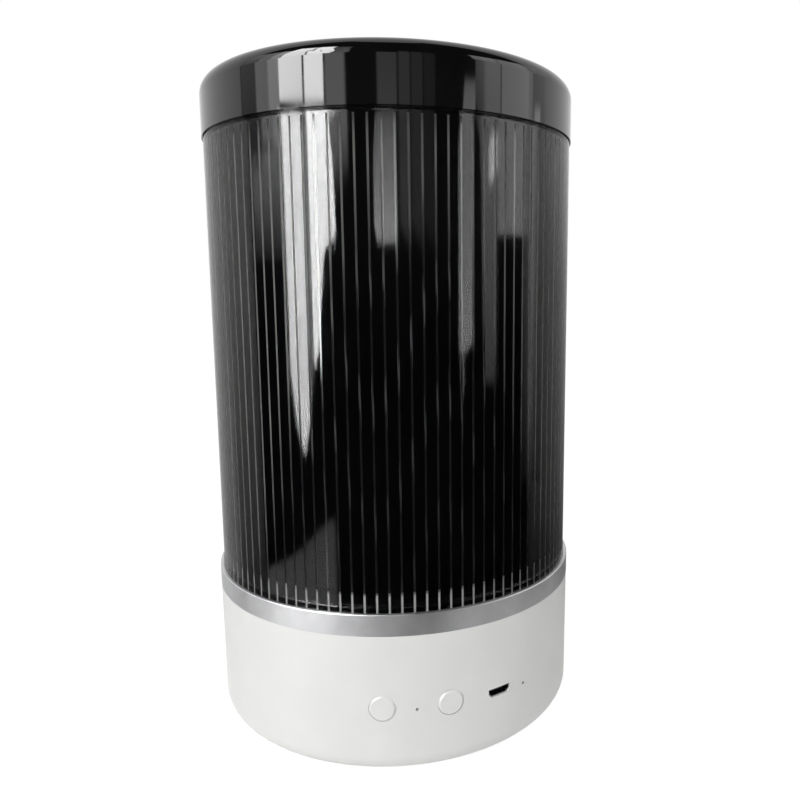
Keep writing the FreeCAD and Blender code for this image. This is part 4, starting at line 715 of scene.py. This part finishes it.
for start, end, glow in (
        (LEFT_END, -40, 1.25), (-40, -15, 1.1), (-15, 25, 0.38), (25, 110, 0.95)):
    panel(f"table_{start - LEFT_END}", BACKDROP, [(start, -60, -27), (end, -60, -27)], glow, glow)
for part, low, high, foot, top in (
        ("low", -27, -5, 0.008, 0.01), ("middle", -5, 4, 0.01, 0.03), ("high", 4, 80, 0.04, 0.03)):
    panel(f"dark_front_{part}", BACKDROP, [(LEFT_END, low, high), (90, low, high)], foot, top)
for start, end, foot, middle in (
        (90, 180, 0.02, 0.5), (180, 236, 0.5, 0.85), (236, 263, 0.12, 0.75)):
    panel(f"back_low_{start}", BACKDROP, [(start, -27, 2), (end, -27, 2)], foot, middle)
    panel(f"back_high_{start}", BACKDROP, [(start, 2, 14), (end, 2, 14)], middle, 1.0)
panel("window_left_pane", NEAR, [
    (-70.2, -6.5, 15.1), (-68.2, -8.5, 15.1), (-66.4, -11, 15.1), (-61.4, -13.6, 15.1),
    (-58, -11.2, 15.1), (-56, -9, 15.1)], 10.5, 16.0, 0.03)
panel("window_bar", FAR, [(-57, -9, 15.1), (-53, -6, 15.1)], 1.0, 1.8)
panel("window_left_pane_top", NEAR, [(-68.3, 15.1, 50), (-53.4, 15.1, 50)], 14.0, 16.0, 0.02)
panel("window_right_pane", NEAREST, [
    (-53.6, -6, 15.1), (-51.8, -5.5, 15.1), (-49.8, -4.3, 15.1), (-47.3, 0, 15.1),
    (-45.5, 3.1, 15.1), (-44.5, 3.9, 15.1), (-42.5, 4.3, 15.1), (-40.3, 4.6, 15.1),
    (-38.5, 4.9, 11.1), (-37.4, 5.7, 6.5)], 15.0, 20.0, 0.02)
panel("window_right_pane_top", NEAREST, [(-52.4, 15.1, 50), (-41, 15.1, 50)], 16.0, 18.0, 0.02)
panel("window_side", MIDWAY, [
    (-41, 15.1, 50), (-38, 7, 50), (-34, 8, 50), (-28, 9, 50)], 2.2, 1.0, 0.15)
panel("curtain_fold", FAR, [(-97, 9, 44), (-87, 9, 44), (-84, 9, 44)], 0.15, 1.8, 0.1)
panel("curtain", FAR, [(-85, 11, 44), (-75, 11, 44)], 1.8, 2.0, 0.06)
panel("curtain_edge", FAR, [(-76, 11, 44), (-68, 11, 44)], 3.0, 5.0, 0.06)
panel("curtain_foot", BEHIND, [(-94, 3, 12), (-69, 3, 12)], 0.1, 2.0, 0.04)
panel("back_patch", NEAR, [
    (-15, 6, 11), (-13, 4.4, 15), (-2.5, 4.4, 15), (-0.8, 5.3, 15)], 4.6, 1.3, 0.05)
panel("back_patch_top", MIDWAY, [(-12, 14.5, 24), (0, 14.5, 24)], 0.9, 0.4, 0.1)
FAR_WALL_STEP = 7
for start, glow in ((0, 0.6), (FAR_WALL_STEP, 0.4), (2 * FAR_WALL_STEP, 0.22)):
    panel(f"far_wall_{start}", FAR, [
        (start, 5, 30), (start + FAR_WALL_STEP, 3, 30)], glow, 0.8 * glow, 0.1)
panel("pale_wall_strip", NEAR, [
    (35.3, -5, 12), (38, -5, 17.5), (40, -5, 17.5), (45, -4, 17.5)], 3.0, 1.9, 0.04)
panel("pale_wall", NEAR, [
    (44.5, 15.5, 36), (50, 12, 36), (52, -8, 36), (62, -8, 36)], 0.6, 2.9, 0.04)
panel("pale_wall_far", NEAR, [(62, 5, 36), (87.5, 5, 36)], 2.1, 2.2, 0.02)
panel("pale_wall_edge", NEAREST, [(89, -18, 16), (95, -18, 16)], 0.1, 2.3, 0.04)
panel("wall_gleam", NEAREST, [
    (55, 9.3, 12), (57.5, 9, 14), (61.5, 10, 14), (63, 11, 13)], 6.5, 6.0, 0.2)
panel("pale_wall_side", NEAR, [(84, -16, 34), (100, -16, 34)], 0.04, 1.3)
panel("door_edge", NEAR, [(36, -9, -1), (39, -9, -1)], 2.0, 3.0, 0.3)
panel("table_patch", NEAR, [
    (-96, -30, -22.2), (-79, -30, -21.5), (-64, -30, -20.4), (-63, -30, -20.2), (-47, -30, -18.2),
    (-41, -30, -18)], 1.0, 0.7, 0.08)

KEY_SIZE = 700
KEY_POWER = 7.6  # watts
KEY_PLACE = (-750, -850, 750)
KEY_TILT = 60
KEY_TURN = -41
key_light = bpy.data.lights.new("soft_lamp", "AREA")
key_light.shape = "DISK"
key_light.size = KEY_SIZE * MM
key_light.energy = KEY_POWER
key = bpy.data.objects.new("soft_lamp", key_light)
bpy.context.scene.collection.objects.link(key)
key.location = [place * MM for place in KEY_PLACE]
key.rotation_euler = (math.radians(KEY_TILT), 0, math.radians(KEY_TURN))
key.visible_glossy = False

# The camera stands a little left of the front, above the tube's middle, and looks slightly down.
CAMERA_PLACE = (-20.7, -246.6, 134.0)
CAMERA_DOWN = 8.34
CAMERA_RIGHT = 9.85
CAMERA_ROLL = 0.24
CAMERA_LENS = 33.23
CAMERA_SHIFT = -0.0731  # sideways, as a share of the picture's width
camera_data = bpy.data.cameras.new("camera")
camera_data.lens = CAMERA_LENS
camera_data.sensor_width = 36.0
camera_data.shift_x = CAMERA_SHIFT
camera_data.clip_start = 0.01
camera = bpy.data.objects.new("camera", camera_data)
bpy.context.scene.collection.objects.link(camera)
camera.location = [place * MM for place in CAMERA_PLACE]
camera.rotation_euler = (
    math.radians(90 - CAMERA_DOWN), math.radians(CAMERA_ROLL), math.radians(-CAMERA_RIGHT))
bpy.context.scene.camera = camera
bpy.context.scene.view_settings.view_transform = "Standard"
